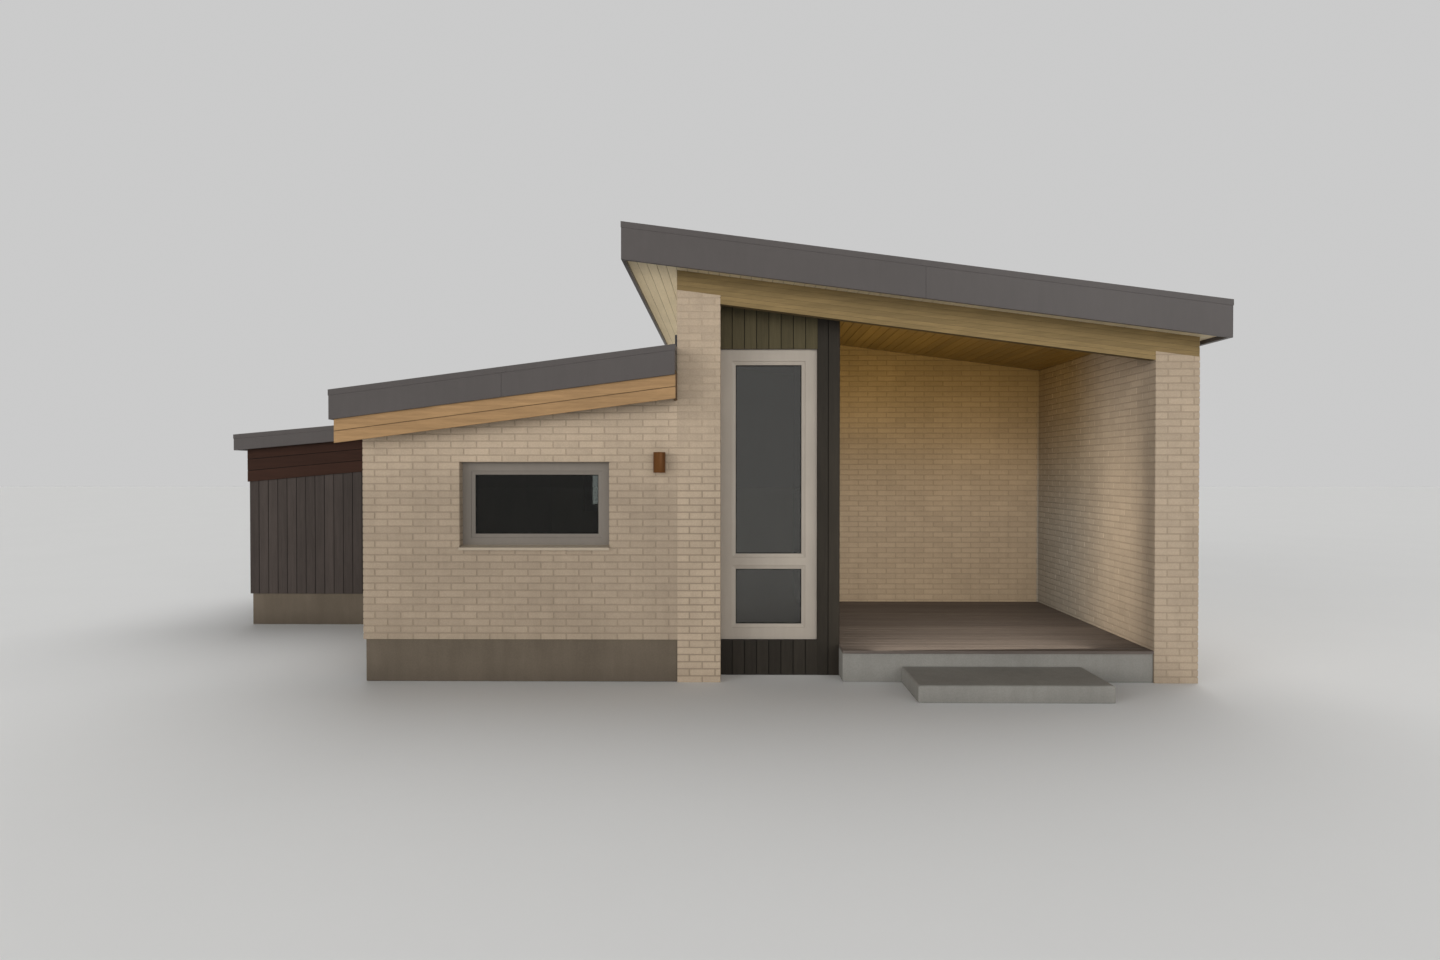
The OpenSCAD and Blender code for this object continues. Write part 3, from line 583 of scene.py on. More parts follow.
def sloping_rows(batch, place, turn, under, xs, ds, rows, proud, top=None, gap=BOARD_GAP):
    """Rows of boards along a roof line, between two heights from it; turn is -1 on a face to the back."""
    step = (ds[1] - ds[0] + gap) / rows
    for i in range(rows):
        d0 = ds[0] + i * step
        d1 = d0 + step - gap
        ring = [(xs[0], under(xs[0]) + d0), (xs[1], under(xs[1]) + d0),
                (xs[1], under(xs[1]) + d1), (xs[0], under(xs[0]) + d1)]
        if turn < 0:
            ring = [(-u, w) for u, w in reversed(ring)]
        if top is not None:
            ring = cut_below(ring, lambda u: top)
        if len(ring) > 2:
            raise_piece(batch, ring, place, proud, proud / 3, rng.random())


frieze_lo, frieze_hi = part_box("annex_frieze")
frieze, frieze_side = new_batch(), new_batch()
for place, turn in ((facing_front(frieze_lo.y), 1), (facing_back(frieze_hi.y), -1)):
    sloping_rows(frieze, place, turn, annex_under, (frieze_lo.x - FRIEZE_PROUD, EAVE_X),
                 (-FRIEZE_H, 0.0), FRIEZE_ROWS, FRIEZE_PROUD)
    sloping_rows(frieze, place, turn, annex_under, (EAVE_X, frieze_hi.x), (-FRIEZE_H, 0.0),
                 FRIEZE_ROWS, FRIEZE_PROUD, top=EAVE_Z)
sloping_rows(frieze_side, facing_left(frieze_lo.x), 1, lambda u: annex_under(frieze_lo.x),
             (-frieze_hi.y, -frieze_lo.y), (-FRIEZE_H, 0.0), FRIEZE_ROWS, FRIEZE_PROUD)
make_piece("frieze_boards", frieze, frieze_stain)
make_piece("frieze_side_boards", frieze_side, frieze_side_stain)

# Soffits and porch ceiling
# Painted boards close the roofs' overhangs from below, in a paler tone of the walls' colour.
# The porch has varnished boards instead, which run from the front to the back.
SOFFIT_BOARD_W, SOFFIT_GROOVE, SOFFIT_T, SOFFIT_EDGE = 0.095, 0.004, 0.006, 0.002
UNDER_BOARD_T = 0.024
SOFFIT_COLOUR, SOFFIT_GROOVE_PAINTED_SHADE = (0.800, 0.745, 0.630), 0.6
VARNISH_COLOUR, VARNISH_GROOVE_PAINTED_SHADE = (0.455, 0.340, 0.140), 0.45
soffit_paint = stained_wood("soffit_paint", SOFFIT_COLOUR, "Y", rough=0.55, tone=0.03,
                            clouds=0.03)
# The roofs' and the porch ceiling's own solids are painted darker, as painted shade in the grooves
# between the boards.
soffit_groove_painted_shade = mineral("soffit_groove_painted_shade", dimmed(SOFFIT_COLOUR, SOFFIT_GROOVE_PAINTED_SHADE), clouds=0.02)
ceiling_varnish = stained_wood("ceiling_varnish", VARNISH_COLOUR, "Y", rough=0.35)
varnish_groove_painted_shade = mineral("varnish_groove_painted_shade", dimmed(VARNISH_COLOUR, VARNISH_GROOVE_PAINTED_SHADE), rough=0.6)
finish_nodes(soffit_groove_painted_shade, "low_roof", "tall_roof", "annex_roof")
finish_nodes(varnish_groove_painted_shade, "porch_ceiling")


def line_soffit(batch, under, xs, ys, drop=0.0):
    """Boards from the front to the back under a sloping deck, over one stretch of it."""
    count = max(1, round((xs[1] - xs[0]) / (SOFFIT_BOARD_W + SOFFIT_GROOVE)))
    step = (xs[1] - xs[0]) / count
    for i in range(count):
        a, b = xs[0] + i * step, xs[0] + (i + 1) * step - SOFFIT_GROOVE
        raise_piece(batch, [(a, -ys[1]), (b, -ys[1]), (b, -ys[0]), (a, -ys[0])],
                    lambda u, w, h: (u, -w, under(u) - drop - h), SOFFIT_T, SOFFIT_EDGE, rng.random())


soffits = new_batch()
tall_lo, tall_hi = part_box("tall_roof")
for xs, ys in (
    ((tall_lo.x, FIN_X), (tall_lo.y, tall_hi.y)), ((RIGHT_X, tall_hi.x), (tall_lo.y, tall_hi.y)),
    ((FIN_X, RIGHT_X), (tall_lo.y, FRONT_Y)), ((FIN_X, RIGHT_X), (BACK_Y, tall_hi.y)),
):
    line_soffit(soffits, tall_under, xs, ys)
board_lo, board_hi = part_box("under_boards")
boards_in = (board_lo.y + UNDER_BOARD_T, board_hi.y - UNDER_BOARD_T)
for xs, ys in (
    ((low("low_roof").x, LEFT_X), boards_in),
    ((LEFT_X, FIN_X - UNDER_BOARD_T), (boards_in[0], FRONT_Y)),
    ((LEFT_X, FIN_X - UNDER_BOARD_T), (BACK_Y, boards_in[1])),
):
    line_soffit(soffits, low_under, xs, ys)
make_piece("soffit_boards", soffits, soffit_paint)

ceiling_y = low("porch_ceiling").y
ceiling = new_batch()
line_soffit(ceiling, tall_under, (PORCH_X, INNER_X), (ceiling_y, PORCH_Y), LINING_T)
line_soffit(ceiling, tall_under, (BAY_X, PORCH_X), (ceiling_y, BAY_Y), LINING_T)
make_piece("porch_ceiling_boards", ceiling, ceiling_varnish)

# Roofing felt
# Bitumen felt with dark mineral grit, in strips about a metre wide that run down the slope.
# Each second strip lies over its neighbours' edges, where a bead of bitumen has squeezed out.
FELT_STRIP, FELT_SHEET, FELT_LAP, FILLET_REACH = 1.0, 0.003, 0.05, 0.075
BEAD_W, BEAD_T, FELT_EDGE, BEAD_EDGE = 0.022, 0.0050, 0.001, 0.0015
FELT_COLOUR = (0.250, 0.250, 0.262)
BEAD_COLOUR = (0.075, 0.075, 0.080)
felt_grit = mineral("felt_grit", FELT_COLOUR, clouds=0.12, speckle=0.30, grain=0.003,
                    soil=(0.1, 1.0), tone=0.16)
bead_bitumen = mineral("bead_bitumen", BEAD_COLOUR, rough=0.5, clouds=0.10)
finish_nodes(felt_grit, "low_felt", "tall_felt", "annex_felt")
felt_t = high("tall_felt").z - high("tall_roof").z


def deck_thickness(deck, under):
    """How thick a roof's deck is, measured upright."""
    return high(deck).z - max(under(low(deck).x), under(high(deck).x))


for roof, under, reach in (
    ("low", low_under, FILLET_REACH), ("tall", tall_under, 0.0), ("annex", annex_under, 0.0),
):
    felt_lo, felt_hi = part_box(roof + "_felt")
    top = deck_thickness(roof + "_roof", under) + felt_t
    x1 = felt_hi.x - reach
    count = math.ceil((felt_hi.y - felt_lo.y) / FELT_STRIP)
    width = (felt_hi.y - felt_lo.y) / count
    strips, beads = new_batch(), new_batch()
    for i in range(count):
        over = i % 2
        y0 = max(felt_lo.y, felt_lo.y + i * width - FELT_LAP * over)
        y1 = min(felt_hi.y, felt_lo.y + (i + 1) * width + FELT_LAP * over)
        raise_piece(strips, [(felt_lo.x, y0), (x1, y0), (x1, y1), (felt_lo.x, y1)],
                    lambda u, w, h: (u, w, under(u) + top + h), FELT_SHEET * (1 + over), FELT_EDGE,
                    rng.random())
        for a, b in ((y0 - BEAD_W, y0), (y1, y1 + BEAD_W)) if over else ():
            if b < felt_hi.y:
                raise_piece(beads, [(felt_lo.x, a), (x1, a), (x1, b), (felt_lo.x, b)],
                            lambda u, w, h: (u, w, under(u) + top + h), BEAD_T, BEAD_EDGE)
    make_piece(roof + "_felt_strips", strips, felt_grit)
    make_piece(roof + "_felt_beads", beads, bead_bitumen)

# Fascia boards and trims
# Dark grey painted boards along the roofs' free edges, under a folded metal trim of the same grey.
# The boards come in lengths with a narrow joint, and small plates cover the trims' joints.
FASCIA_GREY = (0.345, 0.327, 0.320)
FASCIA_SKIN, FASCIA_JOINT, FASCIA_LENGTH, FASCIA_EDGE = 0.003, 0.004, 2.75, 0.002
TRIM_H, TRIM_T, PLATE_W, PLATE_T = 0.055, 0.006, 0.090, 0.002
PAINT_CLOUDS, BLOTCH_SIZE, RUN_SIZE, PAINT_RUNS = 0.04, 0.8, 0.05, (1.0, 1.0, 0.15)
PAINT_GRAIN, PAINT_DEPTH, PAINT_RELIEF = 0.004, 0.0004, 0.4


def painted(name, colour, rough=0.42, metal=0.0, tone=0.0):
    """Paint, metal or rubber: almost even, with faint clouds, faint runs and a fine relief."""
    made, tree, shader = new_finish(name, rough, metal)
    here = places(tree)
    shades = [
        cloudy(tree, here, BLOTCH_SIZE, 1 - PAINT_CLOUDS, 1 + PAINT_CLOUDS),
        cloudy(tree, places(tree, PAINT_RUNS), RUN_SIZE, 1 - PAINT_CLOUDS / 2, 1 + PAINT_CLOUDS / 2),
        own_tone(tree, tone),
    ]
    colour_it(tree, shader, colour, *shades)
    roughen(tree, shader, here, PAINT_GRAIN, PAINT_DEPTH, PAINT_RELIEF)
    return made


fascia_paint = painted("fascia_paint", FASCIA_GREY, tone=0.02)
fascia_boards, trim_plates = new_batch(), new_batch()
for roof, under, trimmed in (
    ("low", low_under, (1, 0)), ("tall", tall_under, (1, 1)), ("annex", annex_under, (1, 0)),
):
    soften(roof + "_fascia", fascia_paint, FASCIA_EDGE)
    edge_lo, edge_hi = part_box(roof + "_fascia")
    falls_right = under(edge_lo.x) > under(edge_hi.x)
    down = edge_lo.z - under(edge_hi.x if falls_right else edge_lo.x)
    up = edge_hi.z - under(edge_lo.x if falls_right else edge_hi.x)
    x0, x1 = edge_lo.x + TRIM_T * trimmed[0], edge_hi.x - TRIM_T * trimmed[1]
    y0, y1 = edge_lo.y + TRIM_T, edge_hi.y - TRIM_T
    count = math.ceil((x1 - x0) / FASCIA_LENGTH)
    step = (x1 - x0) / count
    for place, turn in ((facing_front(y0), 1), (facing_back(y1), -1)):
        for i in range(count):
            at = x0 + i * step
            sloping_rows(fascia_boards, place, turn, under, (at, at + step - FASCIA_JOINT),
                         (down, up - TRIM_H), 1, FASCIA_SKIN)
            if i:
                sloping_rows(trim_plates, place, turn, under, (at - PLATE_W / 2, at + PLATE_W / 2),
                             (up - TRIM_H, up), 1, TRIM_T + PLATE_T)
    count = math.ceil((y1 - y0) / FASCIA_LENGTH)
    step = (y1 - y0) / count
    deck_t = deck_thickness(roof + "_roof", under)
    for x, place, turn in ((x0, facing_left(x0), -1), (x1, facing_right(x1), 1))[:1 + trimmed[1]]:
        eave = (turn > 0) == falls_right
        heights = (down, deck_t if eave else up - TRIM_H)
        for i in range(count):
            ends = sorted((turn * (y0 + i * step), turn * (y0 + (i + 1) * step - FASCIA_JOINT)))
            sloping_rows(fascia_boards, place, 1, lambda u: under(x), ends, heights, 1, FASCIA_SKIN)
make_piece("fascia_lengths", fascia_boards, fascia_paint)
make_piece("trim_cover_plates", trim_plates, fascia_paint)

# Brown boards and beam
# Two rows of brown stained boards hang behind the fascia of the low roof.
# A glued beam lies in the rebates of the fins, with a deeper header between them.
BROWN_COLOUR, BROWN_GAP_PAINTED_SHADE = (0.655, 0.523, 0.370), 0.70
BEAM_COLOUR, BEAM_GLUE_AND_PAINTED_SHADE = (0.525, 0.445, 0.300), 0.78
UNDER_ROWS, UNDER_PROUD, UNDER_GAP, UNDER_EDGE = 2, 0.003, 0.008, 0.003
BEAM_LAYERS, HEADER_LAYERS, LAYER_PROUD, LAYER_GAP, BEAM_EDGE = 4, 2, 0.0012, 0.0025, 0.005
brown_stain = stained_wood("brown_stain", BROWN_COLOUR, "X", rough=0.6, tone=0.05, clouds=0.12)
beam_stain = stained_wood("beam_stain", BEAM_COLOUR, "X", rough=0.6, tone=0.07, clouds=0.12)
# The solids behind the boards and the beam's layers are painted darker: painted shade in the gaps and on
# the undersides, and the beam's glue lines.
brown_gap_painted_shade = stained_wood("brown_gap_painted_shade", dimmed(BROWN_COLOUR, BROWN_GAP_PAINTED_SHADE), "X")
beam_glue_and_painted_shade = stained_wood("beam_glue_and_painted_shade", dimmed(BEAM_COLOUR, BEAM_GLUE_AND_PAINTED_SHADE), "X")
soften("under_boards", brown_gap_painted_shade, UNDER_EDGE)
soften("header_beam", beam_glue_and_painted_shade, BEAM_EDGE)
under_h = low_under(board_lo.x) - board_lo.z
hanging = new_batch()
down = low("low_fascia").z - low_under(low("low_fascia").x)
for place, turn in ((facing_front(board_lo.y), 1), (facing_back(board_hi.y), -1)):
    sloping_rows(hanging, place, turn, low_under, (board_lo.x, FIN_X), (-under_h, down), UNDER_ROWS,
                 UNDER_PROUD, gap=UNDER_GAP)
make_piece("hanging_boards", hanging, brown_stain)
layers = new_batch()
beam_front = facing_front(low("header_beam").y)
sloping_rows(layers, beam_front, 1, tall_under, (FIN_X, RIGHT_X), (-BEAM_H, -SOFFIT_T), BEAM_LAYERS,
             LAYER_PROUD, gap=LAYER_GAP)
header_foot = low("header_beam").z - tall_under(INNER_X)
sloping_rows(layers, beam_front, 1, tall_under, (BAY_X + BRICK_PROUD, INNER_X - BRICK_PROUD),
             (header_foot, -BEAM_H - LAYER_GAP), HEADER_LAYERS, LAYER_PROUD, gap=LAYER_GAP)
make_piece("beam_layers", layers, beam_stain)

# Windows
# Painted wooden frames, mitred at the corners, with stepped beads round double glazing.
# A black seal lies between bead and glass. Each window but the bay's has a folded metal sill.
FRAME_COLOUR = (0.492, 0.464, 0.430)
# The bay's frame has the same paint as the others, painted lighter as painted light in the bay's shade.
BAY_FRAME_PAINTED_LIGHT_COLOUR = (0.665, 0.628, 0.582)
# The sill is sand-coloured metal, painted a little lighter still as painted light against the shade under
# the window.
SILL_SAND_AND_PAINTED_LIGHT_COLOUR = (0.700, 0.645, 0.570)
SEAL_COLOUR = (0.060, 0.060, 0.062)
THROUGH_TINT = (0.62, 0.64, 0.63, 1.0)
MIRROR_TINT = (0.97, 0.94, 0.90, 1.0)
LOW_MIRRORING, BAY_MIRRORING = 1.32, 1.80
GROOVE, SEAL_W, SEAL_T, SEAL_EDGE = 0.014, 0.007, 0.004, 0.001
TRANSOM_Z, TRANSOM_W, FRAME_EDGE, SILL_EDGE = 1.100, 0.150, 0.0025, 0.001
frame_paint = painted("frame_paint", FRAME_COLOUR, rough=0.38)
bay_frame_paint_painted_light = painted("bay_frame_paint_painted_light", BAY_FRAME_PAINTED_LIGHT_COLOUR, rough=0.38)
sill_metal_painted_light = painted("sill_metal_painted_light", SILL_SAND_AND_PAINTED_LIGHT_COLOUR, rough=0.40, metal=0.1)
seal_rubber = painted("seal_rubber", SEAL_COLOUR, rough=0.6)
soften("low_window_frame", frame_paint, FRAME_EDGE)
soften("rear_window_frames", frame_paint, FRAME_EDGE)
soften("bay_window_frame", bay_frame_paint_painted_light, FRAME_EDGE)
soften("window_sills", sill_metal_painted_light, SILL_EDGE)


def glazing(name, reflects):
    """A double-glazed pane, a little wavy: the room shows through, and it mirrors more at a slant."""
    made = bpy.data.materials.new(name)
    made.use_nodes = True
    tree = made.node_tree
    tree.nodes.clear()
    pane_out = tree.nodes.new("ShaderNodeOutputMaterial")
    through = tree.nodes.new("ShaderNodeBsdfTransparent")
    through.inputs["Color"].default_value = THROUGH_TINT
    shine = tree.nodes.new("ShaderNodeBsdfGlossy")
    shine.inputs["Color"].default_value = MIRROR_TINT
    shine.inputs["Roughness"].default_value = 0.02
    glance = tree.nodes.new("ShaderNodeFresnel")
    glance.inputs["IOR"].default_value = reflects
    ripple = tree.nodes.new("ShaderNodeTexNoise")
    ripple.inputs["Scale"].default_value = 1.2
    wave = tree.nodes.new("ShaderNodeBump")
    wave.inputs["Strength"].default_value = 0.03
    wave.inputs["Distance"].default_value = 0.02
    pane = tree.nodes.new("ShaderNodeMixShader")
    tree.links.new(ripple.outputs["Fac"], wave.inputs["Height"])
    tree.links.new(wave.outputs["Normal"], shine.inputs["Normal"])
    tree.links.new(glance.outputs["Fac"], pane.inputs["Fac"])
    tree.links.new(through.outputs["BSDF"], pane.inputs[1])
    tree.links.new(shine.outputs["BSDF"], pane.inputs[2])
    tree.links.new(pane.outputs["Shader"], pane_out.inputs["Surface"])
    return made


finish_nodes(glazing("window_glass", LOW_MIRRORING), "low_window_glass", "rear_window_glass")
finish_nodes(glazing("bay_glass", BAY_MIRRORING), "bay_window_glass")
glass_lo = low("low_window_glass")
bay_glass_lo, bay_glass_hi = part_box("bay_window_glass")
depth = glass_lo.y - FRONT_Y
inner = glass_lo.x + GROOVE - win_lo.x
seals = new_batch()
panes = [
    (facing_front(bay_glass_lo.y), (bay_glass_lo.x + GROOVE, z0, bay_glass_hi.x - GROOVE, z1))
    for z0, z1 in ((bay_glass_lo.z + GROOVE, TRANSOM_Z - TRANSOM_W / 2),
                   (TRANSOM_Z + TRANSOM_W / 2, bay_glass_hi.z - GROOVE))
]
for place, hole in (
    (facing_front(FRONT_Y + depth), front_hole), (facing_back(BACK_Y - depth), low_back_hole),
    (facing_back(BACK_Y - depth), tall_back_hole), (facing_right(RIGHT_X - depth), side_hole),
):
    panes.append((place, (hole[0] + inner, hole[1] + inner, hole[2] - inner, hole[3] - inner)))
for place, (u0, w0, u1, w1) in panes:
    for a, b, c, d in around(u0, w0, u1, w1, (u0 + SEAL_W, w0 + SEAL_W, u1 - SEAL_W, w1 - SEAL_W)):
        raise_piece(seals, [(a, b), (c, b), (c, d), (a, d)], place, SEAL_T, SEAL_EDGE)
make_piece("glazing_seals", seals, seal_rubber)

# Window reveals
# The brickwork turns in beside the low and rear windows as far as their frames.
# It has the same courses and the same wash as the walls' faces, and starts on the metal sill.
reveal = win_lo.y - FRONT_Y
sill_top = high("window_sills").z
returns = new_batch()
for place, span in (
    (facing_right(win_lo.x), (FRONT_Y, FRONT_Y + reveal)),
    (facing_left(win_hi.x), (-FRONT_Y - reveal, -FRONT_Y)),
    (facing_right(win_lo.x), (BACK_Y - reveal, BACK_Y)),
    (facing_left(win_hi.x), (-BACK_Y, -BACK_Y + reveal)),
    (facing_right(rear_mid - WIN_W / 2), (BACK_Y - reveal, BACK_Y)),
    (facing_left(rear_mid + WIN_W / 2), (-BACK_Y, -BACK_Y + reveal)),
    (facing_back(side_mid - WIN_W / 2), (-RIGHT_X, -RIGHT_X + reveal)),
    (facing_front(side_mid + WIN_W / 2), (RIGHT_X - reveal, RIGHT_X)),
):
    lay_bricks(returns, place, span, max(sill_top, win_lo.z), lambda u: win_hi.z)
make_piece("window_reveal_bricks", returns, washed_brick)

# Entrance door
# A boarded leaf in a painted frame, in the porch's side wall.
# It has a steel lever on a long plate, with the lock's cylinder under it.
DOOR_COLOUR = (0.270, 0.240, 0.210)
STEEL_COLOUR = (0.62, 0.62, 0.61)
DOOR_BOARDS, DOOR_GROOVE, DOOR_PROUD, DOOR_FRAME_W = 7, 0.004, 0.005, 0.060
DOOR_EDGE, DOOR_BOARD_EDGE, STEEL_EDGE, THIN_EDGE = 0.003, 0.002, 0.002, 0.001
HANDLE_H, HANDLE_IN = 1.03, 0.070
ROUND_SHY = 0.0001
PLATE_SIZE, PLATE_ROUND, PLATE_DOWN, PLATE_OUT = (0.042, 0.210), 0.012, 0.035, 0.008
NECK_D, NECK_OUT, LOCK_D, LOCK_DOWN, LOCK_OUT = 0.020, 0.052, 0.026, 0.090, 0.016
LEVER_SIZE, LEVER_IN, LEVER_OUT, LEVER_T, LEVER_EDGE = (0.126, 0.022), 0.052, 0.042, 0.016, 0.005
door_paint = painted("door_paint", DOOR_COLOUR, rough=0.5, tone=0.05)
steel = painted("brushed_steel", STEEL_COLOUR, rough=0.30, metal=0.9)
soften("door_frame", frame_paint, DOOR_EDGE)
soften("door_leaf", door_paint, DOOR_EDGE)


def rounded(mid, size, radius=None, steps=5):
    """A rectangle's outline with round corners; with no radius given, its short ends are round."""
    if radius is None:
        radius = min(size) / 2 - ROUND_SHY
    outline = []
    for corner, (sign_u, sign_w) in enumerate(((1, 1), (-1, 1), (-1, -1), (1, -1))):
        for i in range(steps + 1):
            turned = math.pi / 2 * (corner + i / steps)
            outline.append((mid[0] + sign_u * (size[0] / 2 - radius) + radius * math.cos(turned),
                            mid[1] + sign_w * (size[1] / 2 - radius) + radius * math.sin(turned)))
    return outline


leaf_lo, leaf_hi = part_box("door_leaf")
leaf_face = facing_right(leaf_hi.x)
light_y = (door_lo.y + DOOR_FRAME_W + DOOR_GROOVE, door_hi.y - DOOR_FRAME_W - DOOR_GROOVE)
step = (light_y[1] - light_y[0] + DOOR_GROOVE) / DOOR_BOARDS
leaf_boards = new_batch()
for i in range(DOOR_BOARDS):
    a, b = light_y[0] + i * step, light_y[0] + (i + 1) * step - DOOR_GROOVE
    c, d = leaf_lo.z + DOOR_GROOVE, door_hi.z - DOOR_FRAME_W - DOOR_GROOVE
    raise_piece(leaf_boards, [(a, c), (b, c), (b, d), (a, d)], leaf_face, DOOR_PROUD, DOOR_BOARD_EDGE,
                rng.random())
make_piece("door_leaf_boards", leaf_boards, door_paint)

hand_y, hand_z = light_y[0] + HANDLE_IN, DECK_Z + HANDLE_H
handle = new_batch()
plate_face = facing_right(leaf_hi.x + DOOR_PROUD)
lever_face = facing_right(leaf_hi.x + DOOR_PROUD + LEVER_OUT)
plate = rounded((hand_y, hand_z - PLATE_DOWN), PLATE_SIZE, PLATE_ROUND)
neck = rounded((hand_y, hand_z), (NECK_D, NECK_D))
lock = rounded((hand_y, hand_z - LOCK_DOWN), (LOCK_D, LOCK_D))
lever = rounded((hand_y + LEVER_IN, hand_z), LEVER_SIZE)
raise_piece(handle, plate, plate_face, PLATE_OUT, STEEL_EDGE)
raise_piece(handle, neck, plate_face, NECK_OUT, THIN_EDGE)
raise_piece(handle, lock, plate_face, LOCK_OUT, STEEL_EDGE)
raise_piece(handle, lever, lever_face, LEVER_T, LEVER_EDGE)
make_piece("door_handle", handle, steel)

# Wall lamp
# A copper-brown tube on a round plate, on the low wall beside the fin, open at its top and foot.
# A frosted lens closes the light source at either end of its middle.
LAMP_WALL, LAMP_MIDDLE, LENS_T, LENS_STEPS = 0.005, 0.040, 0.014, 8
LAMP_EDGE, LENS_EDGE = 0.0015, 0.006
COPPER_COLOUR = (0.400, 0.250, 0.110)
LENS_COLOUR = (0.80, 0.79, 0.75)
lamp_copper = painted("lamp_copper", COPPER_COLOUR, rough=0.4, metal=0.35)
lens_glass = painted("frosted_lens", LENS_COLOUR, rough=0.35)
soften("wall_lamp", lamp_copper, LAMP_EDGE)
lamp_lo, lamp_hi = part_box("wall_lamp")
lamp_x, lamp_z = (lamp_lo.x + lamp_hi.x) / 2, (lamp_lo.z + lamp_hi.z) / 2
tube = lamp_hi.x - lamp_lo.x
lens_size = tube - 2 * LAMP_WALL
lenses = new_batch()
lens_disc = rounded((0.0, 0.0), (lens_size, lens_size), steps=LENS_STEPS)
lamp_y = lamp_lo.y + tube / 2
for way in (1, -1):
    raise_piece(lenses, lens_disc,
                lambda u, w, h: (lamp_x + u, lamp_y + way * w, lamp_z + way * (LAMP_MIDDLE / 2 + h)),
                LENS_T, LENS_EDGE)
make_piece("lamp_lenses", lenses, lens_glass)

# Inside
# The rooms have a floor of oiled wood and pale painted ceilings, which are nailed up under the roofs.
# They show a little through the windows.
FLOOR_OIL_COLOUR = (0.58, 0.46, 0.32)
LINING_COLOUR = (0.80, 0.76, 0.68)
floor_oil = stained_wood("floor_oil", FLOOR_OIL_COLOUR, "X", rough=0.5, tone=0.0)
lining_paint = painted("lining_paint", LINING_COLOUR, rough=0.7)
finish_nodes(floor_oil, "low_floor", "tall_floor", "annex_floor")
finish_nodes(lining_paint, "low_ceiling", "tall_ceiling")

# Floor, light and camera
# A plain pale floor under soft even light, seen from where the photograph was taken.
# The background has about the brightness of the lit floor, so that the horizon hardly shows.
FLOOR_REACH = 90.0
FLOOR_COLOUR = (0.905, 0.905, 0.900)
FLOOR_CLOUD, FLOOR_UNEVEN = 2.0, 0.005
SKY_LIGHT = 0.20
BACKGROUND = 0.595
WHITE = (1.0, 1.0, 1.0, 1.0)
floor_corners = [(FLOOR_REACH * x, FLOOR_REACH * y, 0) for x, y in ((-1, -1), (1, -1), (1, 1), (-1, 1))]
floor_mesh = bpy.data.meshes.new("stage_floor")
floor_mesh.from_pydata(floor_corners, [], [(0, 1, 2, 3)])
stage_floor = bpy.data.objects.new("stage_floor", floor_mesh)
bpy.context.scene.collection.objects.link(stage_floor)
floor_finish, tree, shader = new_finish("pale_floor", 1.0, sheen=0.0)
colour_it(tree, shader, FLOOR_COLOUR,
          cloudy(tree, places(tree), FLOOR_CLOUD, 1 - FLOOR_UNEVEN, 1 + FLOOR_UNEVEN))
floor_mesh.materials.append(floor_finish)

world = bpy.data.worlds.new("soft_sky")
bpy.context.scene.world = world
world.use_nodes = True
tree = world.node_tree
lit_sky = tree.nodes["Background"]
lit_sky.inputs["Color"].default_value = WHITE
lit_sky.inputs["Strength"].default_value = SKY_LIGHT
seen_sky = tree.nodes.new("ShaderNodeBackground")
seen_sky.inputs["Color"].default_value = WHITE
seen_sky.inputs["Strength"].default_value = BACKGROUND
ray = tree.nodes.new("ShaderNodeLightPath")
seen = ray.outputs["Is Camera Ray"]
for other in ("Is Glossy Ray", "Is Transmission Ray"):
    either = tree.nodes.new("ShaderNodeMath")
    either.operation = "MAXIMUM"
    tree.links.new(seen, either.inputs[0])
    tree.links.new(ray.outputs[other], either.inputs[1])
    seen = either.outputs["Value"]
both = tree.nodes.new("ShaderNodeMixShader")
tree.links.new(seen, both.inputs["Fac"])
tree.links.new(lit_sky.outputs["Background"], both.inputs[1])
tree.links.new(seen_sky.outputs["Background"], both.inputs[2])
tree.links.new(both.outputs["Shader"], tree.nodes["World Output"].inputs["Surface"])


def soft_sun(name, turn, height, spread, strength, in_glass):
    """Even light from one side, turned from the front to the right; in_glass shows it in the panes."""
    light = bpy.data.lights.new(name, "SUN")
    light.angle = math.radians(spread)
    light.energy = strength
    made = bpy.data.objects.new(name, light)
    side, up = math.radians(turn), math.radians(height)
    source = Vector((math.sin(side) * math.cos(up), -math.cos(side) * math.cos(up), math.sin(up)))
    made.rotation_euler = (-source).to_track_quat("-Z", "Y").to_euler()
    made.visible_glossy = in_glass
    bpy.context.scene.collection.objects.link(made)


def fill_light(name, place, turned, size, power, colour):
    """A soft panel of the given width and height that the camera doesn't see."""
    light = bpy.data.lights.new(name, "AREA")
    light.shape = "RECTANGLE"
    light.size, light.size_y = size
    light.energy = power
    light.color = colour
    made = bpy.data.objects.new(name, light)
    made.location = place
    made.rotation_euler = turned
    made.visible_camera = False
    made.visible_glossy = False
    bpy.context.scene.collection.objects.link(made)


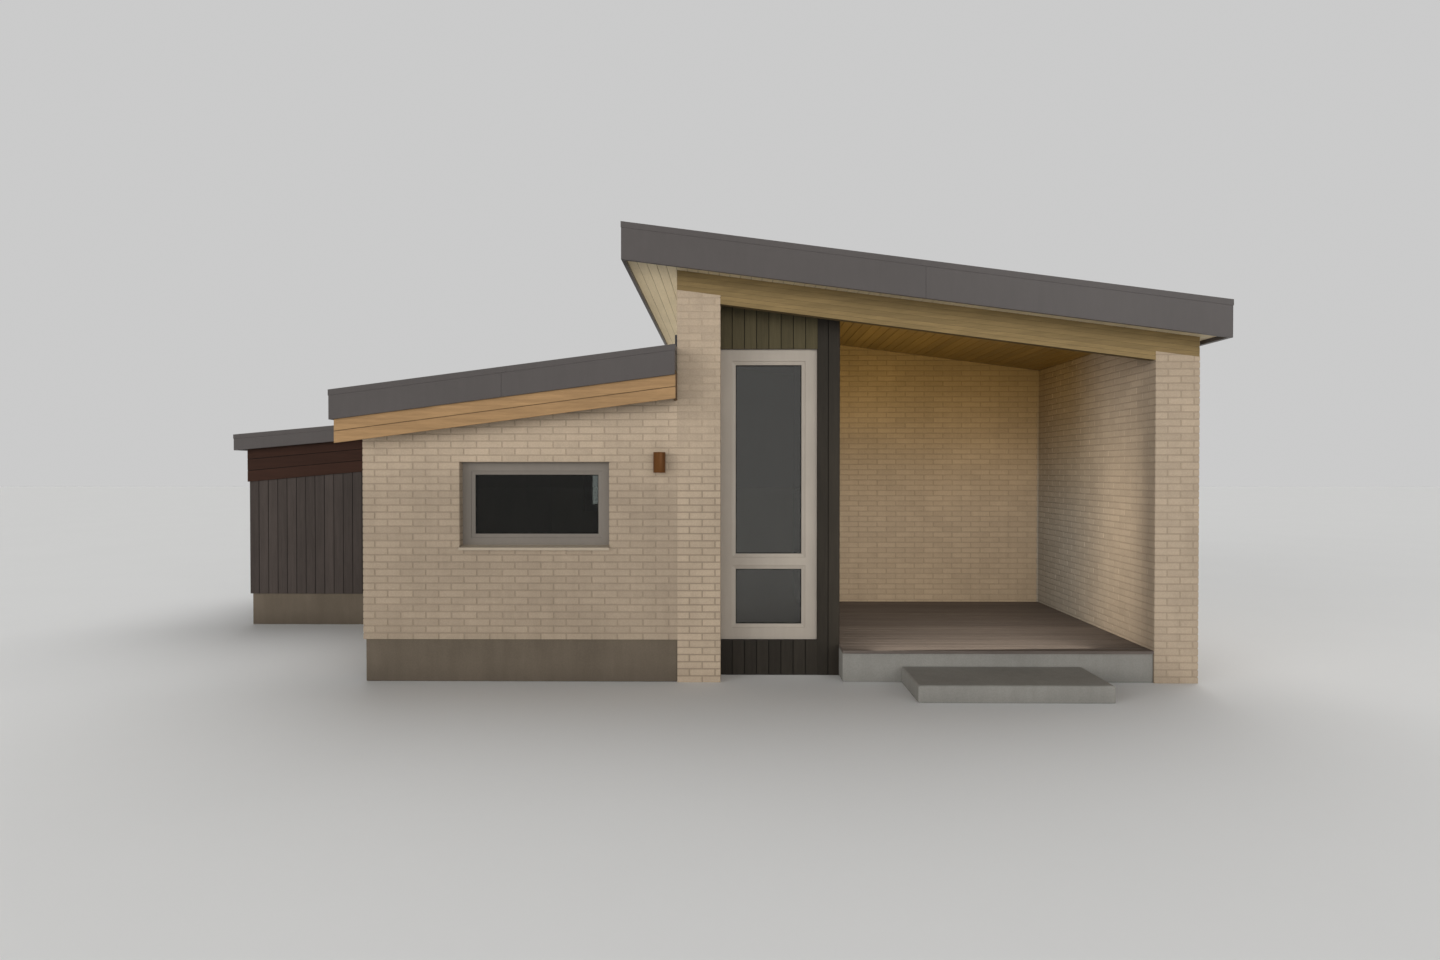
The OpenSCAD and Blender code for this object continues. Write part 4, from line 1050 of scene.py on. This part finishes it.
soft_sun("front_sun", turn=0.0, height=4.0, spread=30.0, strength=0.85, in_glass=False)
soft_sun("front_left_sun", turn=-48.0, height=6.0, spread=40.0, strength=1.45, in_glass=False)
soft_sun("front_right_sun", turn=32.0, height=8.0, spread=40.0, strength=0.65, in_glass=True)
soft_sun("rear_sun", turn=160.0, height=58.0, spread=60.0, strength=1.60, in_glass=True)

EAVE_LIGHT_UP = 0.05
PORCH_LIGHT_LEFT, PORCH_LIGHT_IN, PORCH_LIGHT_Z, PORCH_LIGHT_TURN = 0.12, 0.05, 1.32, 0.06
GLOW_RIGHT, GLOW_IN, GLOW_Z = 0.35, 1.7, 2.40
FACING_UP, FACING_IN = (math.pi, 0.0, 0.0), (math.pi / 2, 0.0, PORCH_LIGHT_TURN)
eave_mid = (low("tall_fascia").x + FIN_X) / 2
porch_mid = (PORCH_X + INNER_X) / 2
fill_light("eave_light", (eave_mid, 0.0, high("low_felt").z + EAVE_LIGHT_UP), FACING_UP,
           size=(0.40, 6.8), power=17.0, colour=(1.0, 0.97, 0.90))
fill_light("porch_light", (porch_mid - PORCH_LIGHT_LEFT, FRONT_Y + PORCH_LIGHT_IN, PORCH_LIGHT_Z),
           FACING_IN, size=(2.1, 2.0), power=36.5, colour=(1.0, 0.95, 0.86))
fill_light("ceiling_glow", (PORCH_X + GLOW_RIGHT, FRONT_Y + GLOW_IN, GLOW_Z), FACING_UP,
           size=(0.5, 1.6), power=6.0, colour=(1.0, 0.93, 0.80))

CAMERA_X, CAMERA_AWAY, CAMERA_Z = 0.28, 8.0, 1.99
CAMERA_YAW, CAMERA_PITCH = 0.010, -0.0117
FOCAL_PX, PHOTO_W = 856.0, 1440.0
camera = bpy.data.cameras.new("camera")
camera.sensor_width = 36.0
camera.lens = FOCAL_PX / PHOTO_W * camera.sensor_width
viewer = bpy.data.objects.new("camera", camera)
viewer.location = (CAMERA_X, FRONT_Y - CAMERA_AWAY, CAMERA_Z)
viewer.rotation_euler = (math.pi / 2 + CAMERA_PITCH, 0.0, CAMERA_YAW)
bpy.context.scene.collection.objects.link(viewer)
bpy.context.scene.camera = viewer
bpy.context.scene.view_settings.view_transform = "Standard"
